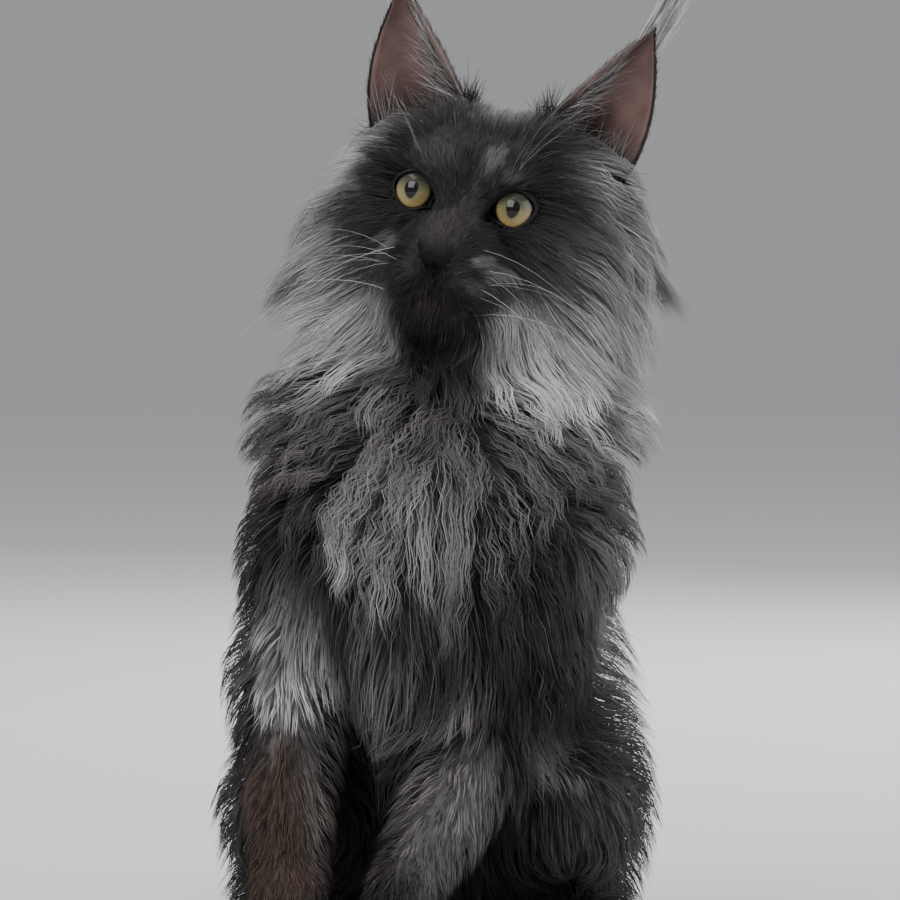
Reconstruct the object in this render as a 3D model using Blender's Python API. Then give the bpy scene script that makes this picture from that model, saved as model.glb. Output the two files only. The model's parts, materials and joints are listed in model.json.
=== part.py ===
"""Maine coon cat, sitting upright with its head turned and tilted, as a still life-size model.

The sizes below are in millimetres and are turned into metres when a mesh is made. +Z is up, the cat
faces -Y, and its left side is at +X. The last step stands the model on the middle of its footprint.

The flesh is a set of tapered capsules that melt into one another, written as a distance field. The
coat chart gives the depth and the lie of the coat at named places. The core of each node is the
surface that lies over the flesh by part of that depth, and the long coat is built on it lock by lock.
"""

import math

import bmesh
import bpy
import numpy as np
from mathutils import Euler, Matrix, Vector
from mathutils.bvhtree import BVHTree
from mathutils.kdtree import KDTree

MM = 0.001
GAP = 0.3
TOUCHING = 0.004
DRAW_APART = 0.02
LEAST_EDGES = (0.03, 0.015, 0.006)
SEED = 7
COLOURS = {"coat": (0.16, 0.14, 0.125, 1), "eye": (0.50, 0.55, 0.30, 1)}

# Driving dimensions of the head, in its own frame: its origin is midway between the eyes.
EYE_MIDPOINT = (5.5, -62.0, 340.0)
HEAD_YAW = math.radians(-13.4)
HEAD_ROLL = math.radians(11.1)
HEAD_PITCH = math.radians(-3.0)
EYE_SPACING = 43.2
EYE_RADIUS = 10.8
EYE_DEPTH = 8.4
EYE_SPLAY = math.radians(3.5)
LID_THICKNESS = 1.5
LID_HALF_WIDTH = 9.2
LID_HALF_HEIGHT = 8.4
LID_POINTS = 16
LID_NARROWING = 0.22
LID_CORNER_REACH = 0.16
LID_INNER_DROP = 2.6
LID_OUTER_LIFT = 1.2
LID_CUT_SHARES = (0.5, 1.12)
LID_CUT_LENGTH = 24.0
BALL_SIDES = 14
MOUTH_WIDTH = 1.8
PHILTRUM_WIDTH = 1.5
PHILTRUM_HEIGHTS = (-29, -32, -35, -38, -41)
NOSTRIL_AT = (4.8, -32.0, -26.5)
NOSTRIL_RADII = (2.2, 2.4, 1.5)
NOSTRIL_TURN = 0.5
MOUTH_LINE = [(0, -28, -41), (5, -26, -44), (10, -22, -45), (15, -15, -44.5), (20, -6, -43), (23, 2, -42)]
EAR_INNER = (15.5, 46.0, 40.0)
EAR_OUTER = (56.0, 46.0, 18.0)
EAR_TIP = (57.0, 44.0, 90.0)
EAR_BACK = (-0.30, 0.93, 0.0)
EAR_SWELL = 8.0
EAR_WRAP = 1.25
EAR_CUP_DEPTH = 20.0
EAR_CUP_FADE = 0.8
EAR_INNER_SWELL = 0.15
EAR_WALL = 2.2
EAR_FOOT = -0.28
EAR_TIP_SHARE = 0.97
EAR_ROWS = 8
EAR_COLUMNS = 8
EAR_CUT = 3.5
# Start and end of each tuft of the left ear, how it bows, and its width.
EAR_TUFTS = [
    ((54, 45, 78), (69, 44, 116), (-3, -2, 0), 8.5),
    ((46, 60, 40), (62, 24, 58), (2, -5, 5), 10.0),
    ((42, 60, 34), (66, 24, 40), (2, -5, 5), 10.0),
    ((34, 60, 44), (42, 30, 70), (-1, -5, 2), 9.0),
]
TUFT_TAPER = (0.8, 1.0, 1.0, 0.85, 0.55)
TUFT_THICKNESS = 3.2
TUFT_BOW = 2.4

# Driving dimensions of the long coat's locks. Some grow with the depth of the coat.
LOCK_SPACING = 16.0
LOCK_SPACING_BY_DEPTH = 0.30
LOCK_CROWDING = {"head": 0.72, "neck": 0.93, "torso": 1.15, "thigh_left": 1.2, "thigh_right": 1.2}
LOCK_WIDTH = 1.05
LOCK_THICKNESS = 4.5
LOCK_THICKNESS_BY_DEPTH = 0.06
LOCK_LENGTH = 26.0
LOCK_LENGTH_BY_DEPTH = 0.75
LOCK_TAPER = (0.65, 1.0, 0.95, 0.6)
LOCK_RISE = (0.34, 0.34, 0.22, 0.10)
LOCK_WAVE = 0.4
LOCK_WAVE_STEP = 1.7
LOCK_LENGTH_RANGE = (0.85, 1.15)
LOCK_RISE_RANGE = (0.75, 1.05)
LOCK_SIZES = (1.0, 0.75, 0.55)
LOCK_CLEARANCE = 2.4
LOWEST_LOCK = 4.5
LOWEST_POINT = 0.8
LOWEST_STEP = 0.013
LOWEST_ROOT = 14.0
ROOT_SINK = 5.0
ROOT_MARGIN = 6.0
ROOT_TRIES = 3000
LEAST_LOCK_DEPTH = 13.0

# Driving dimensions of the body.
TRUNK_X = -2.0
ELBOW_HEIGHT = 138.0
WRIST_HEIGHT = 46.0
PAW_HEIGHT = 13.0
RIGHT_PAW_X = -71.0
LEFT_PAW_X = -29.0
KNEE_HEIGHT = 75.0
HOCK_Y = 98.0
HIND_TOE_Y = -12.0

# The tail leaves the rump, runs back along the floor and hooks round to the cat's left.
TAIL_ROOT = (-14.0, 150.0)
TAIL_STRAIGHT = 80.0
TAIL_BEND_RADIUS = 52.0
TAIL_BEND = math.radians(200)
TAIL_HEADING = math.radians(35)
TAIL_HEIGHT = 21.0
TAIL_ROOT_RISE = 26.0
TAIL_ROOT_REACH = 60.0
TAIL_RADIUS = (11.0, 6.0)
TAIL_COAT = 34.0
TAIL_STEPS = 13

HEAD_TURN = Euler((HEAD_PITCH, 0, 0)).to_matrix()
HEAD_TURN = Euler((0, 0, HEAD_YAW)).to_matrix() @ Euler((0, HEAD_ROLL, 0)).to_matrix() @ HEAD_TURN
HEAD = Matrix.Translation(EYE_MIDPOINT) @ HEAD_TURN.to_4x4()
WORLD = Matrix.Identity(4)


def tail_place(length):
    """Place and heading of the tail's centre line at this length from its root."""
    ahead = Vector((-math.sin(TAIL_HEADING), math.cos(TAIL_HEADING), 0))
    right = Vector((ahead.y, -ahead.x, 0))
    root = Vector((*TAIL_ROOT, TAIL_HEIGHT))
    rise = TAIL_ROOT_RISE * max(0.0, 1 - length / TAIL_ROOT_REACH) ** 2
    if length <= TAIL_STRAIGHT:
        return root + ahead * length + Vector((0, 0, rise)), ahead
    turn = (length - TAIL_STRAIGHT) / TAIL_BEND_RADIUS
    centre = root + ahead * TAIL_STRAIGHT + right * TAIL_BEND_RADIUS
    swung = Matrix.Rotation(-turn, 3, "Z")
    return centre - swung @ right * TAIL_BEND_RADIUS, swung @ ahead


TAIL_LENGTH = TAIL_STRAIGHT + TAIL_BEND_RADIUS * TAIL_BEND


def both(name, a, b, start, end, melt):
    """A mass of the head and its mirror image."""
    flip = Vector((-1, 1, 1))
    return [
        (name + "_left", HEAD, a, b, start, end, melt),
        (name + "_right", HEAD, Vector(a) * flip, Vector(b) * flip, start, end, melt),
    ]


def tail_masses():
    made = []
    for i in range(TAIL_STEPS):
        share = (i / TAIL_STEPS, (i + 1) / TAIL_STEPS)
        ends = [tail_place(TAIL_LENGTH * s)[0] for s in share]
        radii = [TAIL_RADIUS[0] + (TAIL_RADIUS[1] - TAIL_RADIUS[0]) * s for s in share]
        made.append((f"tail_{i}", WORLD, *ends, *radii, 4))
    return made


# Name, frame, the two centres, the radii there, and the width over which it melts into the others.
MASSES = [
    ("cranium", HEAD, (-9, 38, 9), (9, 38, 9), 29, 29, 10),
    ("nape", HEAD, (0, 50, 0), (0, 62, -8), 28, 26, 14),
    ("brow", HEAD, (-15, 9, 10), (15, 9, 10), 11, 11, 12),
    *both("cheekbone", (25, 14, -10), (29, 30, -14), 13, 15, 10),
    ("nose_bridge", HEAD, (0, 3, 2), (0, -20, -20), 9, 6.5, 7),
    ("nose_tip", HEAD, (-3.8, -24, -25), (3.8, -24, -25), 5.2, 5.2, 4),
    ("muzzle", HEAD, (-8, -8, -25), (8, -8, -25), 11, 11, 8),
    *both("whisker_pad", (8.5, -15, -34), (15, -6, -33), 10.5, 11, 4),
    ("chin", HEAD, (-4, -12.5, -48.5), (4, -12.5, -48.5), 8, 8, 3),
    *both("jaw", (5, -6, -42), (26, 32, -26), 10, 13, 8),
    ("throat", HEAD, (0, 12, -32), (0, 44, -24), 20, 27, 14),
    ("neck", WORLD, (15, -8, 322), (-4, 10, 240), 33, 46, 18),
    ("breast", WORLD, (-8, -10, 222), (-8, 2, 160), 42, 44, 20),
    ("ribs", WORLD, (-6, 16, 212), (-4, 60, 130), 50, 58, 20),
    ("belly", WORLD, (-4, 60, 130), (TRUNK_X, 88, 84), 58, 58, 20),
    ("rump", WORLD, (TRUNK_X, 98, 66), (TRUNK_X, 102, 62), 58, 58, 20),
    ("right_shoulder", WORLD, (-46, 14, 216), (-55, -14, 190), 26, 23, 16),
    ("left_shoulder", WORLD, (32, 14, 216), (41, -12, 190), 26, 23, 16),
    ("right_upper_arm", WORLD, (-55, -14, 190), (-69, -4, ELBOW_HEIGHT), 22, 17, 12),
    ("left_upper_arm", WORLD, (41, -12, 190), (32, -4, ELBOW_HEIGHT), 22, 17, 12),
    ("right_forearm", WORLD, (-69, -8, ELBOW_HEIGHT), (-68, -48, WRIST_HEIGHT), 16.5, 11.5, 10),
    ("left_forearm", WORLD, (32, -8, ELBOW_HEIGHT), (-20, -54, WRIST_HEIGHT), 16.5, 11.5, 10),
    ("right_pastern", WORLD, (-68, -48, WRIST_HEIGHT), (RIGHT_PAW_X, -62, PAW_HEIGHT), 11.5, 12, 8),
    ("left_pastern", WORLD, (-20, -54, WRIST_HEIGHT), (LEFT_PAW_X, -68, PAW_HEIGHT), 11.5, 12, 8),
    ("right_hip", WORLD, (-42, 92, 78), (-62, 28, KNEE_HEIGHT), 41, 29, 20),
    ("left_hip", WORLD, (32, 92, 78), (48, 26, KNEE_HEIGHT), 41, 29, 20),
    ("right_shank", WORLD, (-64, 26, KNEE_HEIGHT - 4), (-76, HOCK_Y, 26), 22, 13, 12),
    ("left_shank", WORLD, (50, 24, KNEE_HEIGHT - 4), (60, HOCK_Y, 26), 22, 13, 12),
    ("right_metatarsus", WORLD, (-76, HOCK_Y, 20), (-79, HIND_TOE_Y, 12), 12.5, 12, 8),
    ("left_metatarsus", WORLD, (60, HOCK_Y, 20), (63, HIND_TOE_Y, 12), 12.5, 12, 8),
    *tail_masses(),
]

TOE_SPREAD = (-13.5, -4.8, 4.8, 13.5)
TOE_REACH = (-2.0, -7.5, -7.5, -2.0)
TOE_ROOT_RADIUS = 8.0
TOE_RADIUS = 6.8
TOE_LENGTH = 10.0
TOE_ROOT_SPREAD = 0.7
TOE_HEIGHTS = (12.0, 7.5)


def toe_masses(name, x, y, splay):
    """Four toes side by side, the middle pair further forward."""
    made = []
    for i, (across, reach) in enumerate(zip(TOE_SPREAD, TOE_REACH)):
        root = (x + across * TOE_ROOT_SPREAD, y + TOE_LENGTH, TOE_HEIGHTS[0])
        tip = (x + across + splay, y + reach, TOE_HEIGHTS[1])
        made.append((f"{name}_toe_{i}", WORLD, root, tip, TOE_ROOT_RADIUS, TOE_RADIUS, 2.5))
    return made


MASSES += toe_masses("right_forepaw", RIGHT_PAW_X, -78, -1)
MASSES += toe_masses("left_forepaw", LEFT_PAW_X, -84, -1)
MASSES += toe_masses("right_hindfoot", -79, HIND_TOE_Y - 14, -1)
MASSES += toe_masses("left_hindfoot", 63, HIND_TOE_Y - 14, 1)


def pair(point, depth, lie):
    """A place of the head's coat chart on both sides."""
    return [
        (HEAD, point, depth, lie),
        (HEAD, (-point[0], *point[1:]), depth, (-lie[0], *lie[1:])),
    ]


def tail_chart():
    made = []
    for i in range(6):
        place, ahead = tail_place(TAIL_LENGTH * (0.12 + 0.88 * i / 5))
        made.append((WORLD, place, TAIL_COAT, ahead))
    return made


# The coat chart: frame, place, depth of the coat there, and the way the hair lies.
COAT = [
    (HEAD, (0, -30, -25), 0.4, (0, 0.3, 1)),
    (HEAD, (0, -14, -4), 1.5, (0, 0.5, 0.85)),
    (HEAD, (0, 8, 24), 3.0, (0, 0.6, 0.8)),
    (HEAD, (0, 38, 38), 6.0, (0, 1, 0.1)),
    *pair((20, -2, 15), 2.5, (0.4, 0.4, 0.8)),
    *pair((20, -2, -14), 2.0, (0.8, 0.5, -0.4)),
    *pair((20, -14, -33), 2.5, (0.8, 0.5, -0.3)),
    (HEAD, (0, -20, -51), 3.0, (0, 0.3, -1)),
    *pair((20, 6, -44), 14, (0.5, 0.2, -0.9)),
    *pair((36, 4, -14), 9, (0.7, 0.6, -0.5)),
    *pair((38, 14, 8), 18, (0.9, 0.3, 0.0)),
    (HEAD, (56, 42, 6), 62, (0.95, 0.1, -0.2)),
    (HEAD, (58, 36, -26), 54, (0.9, 0.1, -0.4)),
    (HEAD, (-52, 40, -8), 50, (-0.9, 0.1, -0.35)),
    *pair((42, 30, -20), 46, (0.85, 0.30, -0.50)),
    *pair((40, 44, 6), 34, (0.9, 0.4, -0.1)),
    *pair((30, 20, -48), 34, (0.45, -0.1, -0.9)),
    *pair((28, 64, 20), 20, (0.5, 0.8, -0.3)),
    (HEAD, (0, 78, 4), 24, (0, 0.6, -0.8)),
    (HEAD, (0, 4, -62), 30, (0, -0.35, -1)),
    (WORLD, (0, -48, 268), 42, (0, -0.35, -1)),
    (WORLD, (-44, -4, 272), 32, (-0.5, -0.15, -0.8)),
    (WORLD, (48, -4, 274), 42, (0.6, -0.15, -0.8)),
    (WORLD, (6, 50, 285), 28, (0, 0.5, -0.9)),
    (WORLD, (-8, -56, 212), 42, (0, -0.25, -1)),
    (WORLD, (-8, -46, 160), 34, (0, -0.1, -1)),
    (WORLD, (-76, -4, 212), 13, (-0.2, -0.1, -0.95)),
    (WORLD, (62, -4, 212), 17, (0.35, -0.1, -0.95)),
    (WORLD, (-92, -12, 165), 12, (-0.2, 0, -1)),
    (WORLD, (66, -14, 165), 13, (0.2, 0, -1)),
    (WORLD, (-70, 20, 136), 16, (-0.1, 0.5, -0.8)),
    (WORLD, (36, 20, 136), 16, (0.1, 0.5, -0.8)),
    (WORLD, (-68, -44, 95), 8, (0, -0.2, -1)),
    (WORLD, (4, -48, 95), 8, (-0.35, -0.2, -1)),
    (WORLD, (-68, -56, 46), 5, (0, -0.3, -1)),
    (WORLD, (-20, -62, 46), 5, (-0.2, -0.3, -1)),
    (WORLD, (RIGHT_PAW_X, -80, 20), 2.2, (0, -1, -0.4)),
    (WORLD, (LEFT_PAW_X, -84, 20), 2.2, (0, -1, -0.4)),
    (WORLD, (-4, 72, 240), 22, (0, 0.5, -0.9)),
    (WORLD, (-2, 124, 170), 26, (0, 0.3, -0.95)),
    (WORLD, (-2, 162, 90), 26, (0, 0.4, -0.9)),
    (WORLD, (-62, 50, 155), 27, (-0.3, 0.25, -0.9)),
    (WORLD, (56, 50, 155), 27, (0.3, 0.25, -0.9)),
    (WORLD, (-6, -6, 105), 32, (0, -0.2, -1)),
    (WORLD, (-86, 80, 86), 22, (-0.2, 0.2, -0.95)),
    (WORLD, (76, 80, 86), 22, (0.2, 0.2, -0.95)),
    (WORLD, (-92, 14, 80), 12, (-0.3, -0.3, -0.9)),
    (WORLD, (78, 12, 80), 12, (0.3, -0.3, -0.9)),
    (WORLD, (-90, HOCK_Y, 25), 11, (-0.3, 0.4, -0.8)),
    (WORLD, (74, HOCK_Y, 25), 11, (0.3, 0.4, -0.8)),
    (WORLD, (-79, -20, 18), 2.2, (0, -1, -0.4)),
    (WORLD, (63, -20, 18), 2.2, (0, -1, -0.4)),
    *tail_chart(),
]

CHART_AT = np.array([frame @ Vector(at) for frame, at, _, _ in COAT])
CHART_DEPTH = np.array([depth for _, _, depth, _ in COAT])
CHART_LIE = np.array([(frame.to_3x3() @ Vector(lie)).normalized() for frame, _, _, lie in COAT])
CHART_REACH = 12.0
CORE_SHARE = 0.44
SHORT_COAT = 8.0


def flesh(points):
    """Distance from each point to the surface of the flesh, negative inside."""
    found = None
    for _, frame, a, b, start, end, melt in MASSES:
        a, b = np.array(frame @ Vector(a)), np.array(frame @ Vector(b))
        along = b - a
        share = np.clip((points - a) @ along / max(along @ along, 1e-9), 0, 1)[:, None]
        away = np.linalg.norm(points - a - share * along, axis=1)
        away -= start + (end - start) * share[:, 0]
        if found is None:
            found = away
            continue
        mix = np.clip(0.5 + 0.5 * (found - away) / melt, 0, 1)
        found = found * (1 - mix) + away * mix - melt * mix * (1 - mix)
    return found


def chart_weights(points):
    apart = ((points[:, None, :] - CHART_AT[None]) ** 2).sum(2)
    weights = 1 / (apart + CHART_REACH**2) ** 2
    return weights / weights.sum(1, keepdims=True)


def coat_depth(points):
    return chart_weights(points) @ CHART_DEPTH


def core_depth(depth):
    """How far the core stands over the flesh: all of a short coat, and under half of a long one."""
    return depth * (CORE_SHARE + (1 - CORE_SHARE) * np.exp(-((depth / SHORT_COAT) ** 2)))


def core(points):
    """Distance to the surface of the core."""
    return flesh(points) - core_depth(coat_depth(points))


def slope(field, points, step=0.4):
    """Gradient of a field, by central differences."""
    shifts = np.eye(3) * step
    return np.stack([field(points + s) - field(points - s) for s in shifts], 1) / (2 * step)


def settle(field, points, rounds=3):
    """Points moved onto the surface of a field."""
    for _ in range(rounds):
        gradient = slope(field, points)
        points = points - field(points)[:, None] * gradient / (gradient**2).sum(1, keepdims=True)
    return points


def new_object(name, mesh):
    made = bpy.data.objects.new(name, mesh)
    bpy.context.scene.collection.objects.link(made)
    return made


def solid(name, points, faces):
    """A mesh object from points in millimetres."""
    mesh = bpy.data.meshes.new(name)
    mesh.from_pydata((np.asarray(points) * MM).tolist(), [], [list(map(int, f)) for f in faces])
    mesh.update()
    return new_object(name, mesh)


def surface_net(field, low, high, cell):
    """Points and quads of the closed surface where a field is zero inside a box."""
    low, high = np.array(low, float), np.array(high, float)
    count = np.ceil((high - low) / cell).astype(int) + 1
    index = np.stack(np.meshgrid(*[np.arange(n) for n in count], indexing="ij"), -1)
    values = field(low + index.reshape(-1, 3) * cell).reshape(count)
    for axis in range(3):
        edge = [slice(None)] * 3
        for side in (0, -1):
            edge[axis] = side
            values[tuple(edge)] = np.maximum(values[tuple(edge)], cell * 0.5)
    total, hits = np.zeros((*(count - 1), 3)), np.zeros(count - 1)
    crossings = []
    for axis in range(3):
        first = [slice(None)] * 3
        second = [slice(None)] * 3
        first[axis], second[axis] = slice(None, -1), slice(1, None)
        here, there = values[tuple(first)], values[tuple(second)]
        at = np.argwhere((here < 0) != (there < 0))
        a, b = here[tuple(at.T)], there[tuple(at.T)]
        place = at.astype(float)
        place[:, axis] += a / (a - b)
        crossings.append((axis, at, a < 0))
        others = [k for k in range(3) if k != axis]
        for u in (0, 1):
            for v in (0, 1):
                box = at.copy()
                box[:, others[0]] -= u
                box[:, others[1]] -= v
                np.add.at(total, tuple(box.T), place)
                np.add.at(hits, tuple(box.T), 1)
    used = np.argwhere(hits > 0)
    number = np.full(hits.shape, -1)
    number[tuple(used.T)] = np.arange(len(used))
    points = low + total[tuple(used.T)] / hits[tuple(used.T)][:, None] * cell
    quads = []
    for axis, at, outward in crossings:
        u, v = (axis + 1) % 3, (axis + 2) % 3
        corners = []
        for du, dv in ((0, 0), (1, 0), (1, 1), (0, 1)):
            box = at.copy()
            box[:, u] -= du
            box[:, v] -= dv
            corners.append(number[tuple(box.T)])
        loop = np.stack(corners, 1)
        loop[~outward] = loop[~outward][:, ::-1]
        quads.append(loop)
    return points, np.concatenate(quads)


def moulded(name, field, low, high, cell, budget):
    """A closed object on a field's surface, thinned to a budget of triangles."""
    points, quads = surface_net(field, low, high, cell)
    inner = ((points > np.array(low) + cell) & (points < np.array(high) - cell)).all(1)
    points[inner] = settle(field, points[inner])
    made = solid(name, points, quads)
    thin = made.modifiers.new("thin", "DECIMATE")
    thin.ratio = min(1.0, budget / (2 * len(quads)))
    apply_modifiers(made)
    return made


def apply_modifiers(made):
    """Bakes an object's modifiers into its mesh."""
    graph = bpy.context.evaluated_depsgraph_get()
    graph.update()
    mesh = bpy.data.meshes.new_from_object(made.evaluated_get(graph))
    old = made.data
    made.modifiers.clear()
    made.data = mesh
    bpy.data.meshes.remove(old)


def combine(made, others, operation):
    """Joins or cuts an object with others in one Boolean on a collection, and removes the others."""
    if not others:
        return made
    tools = bpy.data.collections.new("tools")
    bpy.context.scene.collection.children.link(tools)
    for other in others:
        tools.objects.link(other)
        bpy.context.scene.collection.objects.unlink(other)
    step = made.modifiers.new(operation, "BOOLEAN")
    step.operation = operation
    step.operand_type = "COLLECTION"
    step.collection = tools
    step.solver = "MANIFOLD"
    apply_modifiers(made)
    for other in others:
        bpy.data.objects.remove(other)
    bpy.data.collections.remove(tools)
    return made


def keep_largest(made):
    """Keeps only the largest closed surface of an object."""
    shape = bmesh.new()
    shape.from_mesh(made.data)
    bmesh.ops.triangulate(shape, faces=shape.faces[:])
    shape = without_slivers(shape)
    left, best = set(shape.faces), []
    while left:
        group, front = set(), [left.pop()]
        while front:
            face = front.pop()
            group.add(face)
            beside = [other for edge in face.edges for other in edge.link_faces if other in left]
            left.difference_update(beside)
            front += beside
        if len(group) > len(best):
            best = group
    bmesh.ops.delete(shape, geom=[f for f in shape.faces if f not in best], context="FACES")
    part_touching(shape)
    shape.to_mesh(made.data)
    shape.free()
    return made


def without_slivers(shape):
    """The shape with its shortest edges drawn together, where it stays closed."""
    for least in LEAST_EDGES:
        trial = shape.copy()
        bmesh.ops.dissolve_degenerate(trial, dist=least * MM, edges=trial.edges[:])
        bmesh.ops.triangulate(trial, faces=trial.faces[:])
        if all(edge.is_manifold for edge in trial.edges):
            shape.free()
            return trial
        trial.free()
    return shape


def part_touching(shape):
    """Draws corners apart where a Boolean left two folds of the surface on one point."""
    shape.normal_update()
    tree = KDTree(len(shape.verts))
    for i, vert in enumerate(shape.verts):
        tree.insert(vert.co, i)
    tree.balance()
    touching = [v for v in shape.verts if len(tree.find_range(v.co, TOUCHING * MM)) > 1]
    for vert in touching:
        vert.co -= vert.normal * DRAW_APART * MM


# A cell is a convex region: a list of planes, each a point and the normal that points out of it.
FLOOR = ((0, 0, 0), (0, 0, -1))
NECK_TOP = (HEAD @ Vector((0, 38, -24)), HEAD.to_3x3() @ Vector((0, 0.42, -0.91)))
NECK_BASE = (Vector((0, 0, 232)), Vector((0, 0.25, -0.97)))
LEG_TOP = (Vector((0, 0, 172)), Vector((0, 0, 1)))
PAW_TOP = (Vector((0, 0, 36)), Vector((0, 0, 1)))
LEG_BACK = (Vector((0, 17, ELBOW_HEIGHT)), Vector((0, 0.92, -0.40)))
PAW_BACK = (Vector((0, -44, 12)), Vector((0, 0.92, -0.40)))
PAWS_APART = (Vector((-50, 0, 0)), Vector((1, 0, 0)))
RIGHT_LEG_INNER = (Vector((-42, 0, 138)), Vector((1, 0, 0)))
LEFT_LEG_INNER = (Vector((14, 0, 172)), Vector((-0.918, 0, 0.395)))
LEFT_LEG_OUTER = (Vector((66, 0, 172)), Vector((0.918, 0, -0.395)))
THIGH_TOP = (Vector((0, 0, 124)), Vector((0, 0, 1)))
FOOT_TOP = (Vector((0, 0, 27)), Vector((0, 0, 1)))
RIGHT_THIGH_INNER = (Vector((-42, 0, 0)), Vector((1, 0, 0)))
LEFT_THIGH_INNER = (Vector((30, 0, 0)), Vector((-1, 0, 0)))
FOOT_BACK = (Vector((0, 122, 0)), Vector((0, 1, 0)))
TAIL_START = (Vector((0, 174, 0)), Vector((0, -1, 0)))
TAIL_MIDDLE = (Vector((2, 0, 0)), Vector((1, 0, 0)))
TAIL_SPLIT = (tail_place(98)[0], tail_place(98)[1])


def back_of(plane):
    """The same plane seen from its other side, moved off by the gap between touching nodes."""
    return (Vector(plane[0]) + Vector(plane[1]).normalized() * GAP, -Vector(plane[1]))


def ear_plane(side):
    """The plane that parts an ear from the head."""
    inner, outer = Vector(EAR_INNER), Vector(EAR_OUTER)
    normal = Vector((-(outer - inner).z, 0, (outer - inner).x)).normalized()
    at = (inner + outer) / 2 + normal * EAR_CUT
    flip = Vector((side, 1, 1))
    return HEAD @ (at * flip), HEAD.to_3x3() @ (normal * flip)


NODE_CELLS = {
    "head": [NECK_TOP, ear_plane(-1), ear_plane(1)],
    "neck": [back_of(NECK_TOP), NECK_BASE],
    "torso": [back_of(NECK_BASE), back_of(TAIL_START), FLOOR],
    "foreleg_right": [LEG_TOP, back_of(PAW_TOP), LEG_BACK, RIGHT_LEG_INNER],
    "foreleg_left": [LEG_TOP, back_of(PAW_TOP), LEG_BACK, LEFT_LEG_INNER, LEFT_LEG_OUTER],
    "forepaw_right": [PAW_TOP, PAW_BACK, PAWS_APART, FLOOR],
    "forepaw_left": [PAW_TOP, PAW_BACK, back_of(PAWS_APART), LEFT_LEG_OUTER, FLOOR],
    "thigh_right": [THIGH_TOP, back_of(FOOT_TOP), back_of(LEG_BACK), RIGHT_THIGH_INNER, back_of(TAIL_START)],
    "thigh_left": [THIGH_TOP, back_of(FOOT_TOP), back_of(LEG_BACK), LEFT_THIGH_INNER, back_of(TAIL_START)],
    "hindfoot_right": [FOOT_TOP, RIGHT_THIGH_INNER, back_of(PAW_BACK), FOOT_BACK, FLOOR],
    "hindfoot_left": [FOOT_TOP, LEFT_THIGH_INNER, back_of(PAW_BACK), FOOT_BACK, FLOOR],
    "tail_base": [TAIL_START, TAIL_MIDDLE, TAIL_SPLIT, FLOOR],
    "tail_middle": [TAIL_START, TAIL_MIDDLE, back_of(TAIL_SPLIT), FLOOR],
    "tail_tip": [TAIL_START, back_of(TAIL_MIDDLE), FLOOR],
}
# Box that holds each node's core, the size of its facets, and the triangles that it keeps.
NODE_MOULDS = {
    "head": ((-110, -120, 240), (130, 100, 415), 4.0, 1150),
    "neck": ((-125, -115, 180), (130, 120, 350), 8.0, 520),
    "foreleg_right": ((-130, -95, 20), (-20, 50, 200), 6.0, 420),
    "foreleg_left": ((-60, -100, 20), (95, 50, 200), 6.0, 420),
    "forepaw_right": ((-105, -110, -12), (-30, 0, 60), 3.6, 420),
    "forepaw_left": ((-65, -110, -12), (25, 0, 60), 3.6, 420),
    "thigh_right": ((-140, -50, 10), (-20, 205, 150), 9.0, 420),
    "thigh_left": ((10, -50, 10), (130, 205, 150), 9.0, 420),
    "hindfoot_right": ((-125, -70, -12), (-30, 140, 45), 4.2, 450),
    "hindfoot_left": ((20, -70, -12), (110, 140, 45), 4.2, 450),
    "tail_base": ((-120, 160, -15), (30, 270, 110), 8.0, 260),
    "tail_middle": ((-130, 190, -15), (20, 370, 90), 8.0, 300),
    "tail_tip": ((-15, 165, -15), (110, 370, 90), 8.0, 220),
    "torso": ((-140, -105, -15), (135, 200, 265), 9.0, 1100),
}
FAR = 600.0


def cell_solid(name, planes, grow=0.0):
    """A convex solid bounded by a cell's planes, moved out by grow."""
    shape = bmesh.new()
    bmesh.ops.create_cube(shape, size=2 * FAR)
    for at, normal in planes:
        normal = Vector(normal).normalized()
        geometry = shape.verts[:] + shape.edges[:] + shape.faces[:]
        cut = bmesh.ops.bisect_plane(
            shape, geom=geometry, plane_co=Vector(at) + normal * grow, plane_no=normal, clear_outer=True
        )
        rim = [e for e in cut["geom_cut"] if isinstance(e, bmesh.types.BMEdge)]
        bmesh.ops.contextual_create(shape, geom=rim)
    bmesh.ops.recalc_face_normals(shape, faces=shape.faces[:])
    bmesh.ops.scale(shape, vec=(MM, MM, MM), verts=shape.verts[:])
    mesh = bpy.data.meshes.new(name)
    shape.to_mesh(mesh)
    shape.free()
    return new_object(name, mesh)


def outside_by(planes, points):
    """How far each point lies outside a cell, negative inside it."""
    points = np.atleast_2d(points)
    sides = [(points - np.array(at)) @ np.array(Vector(n).normalized()) for at, n in planes]
    return np.max(sides, axis=0)


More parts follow.
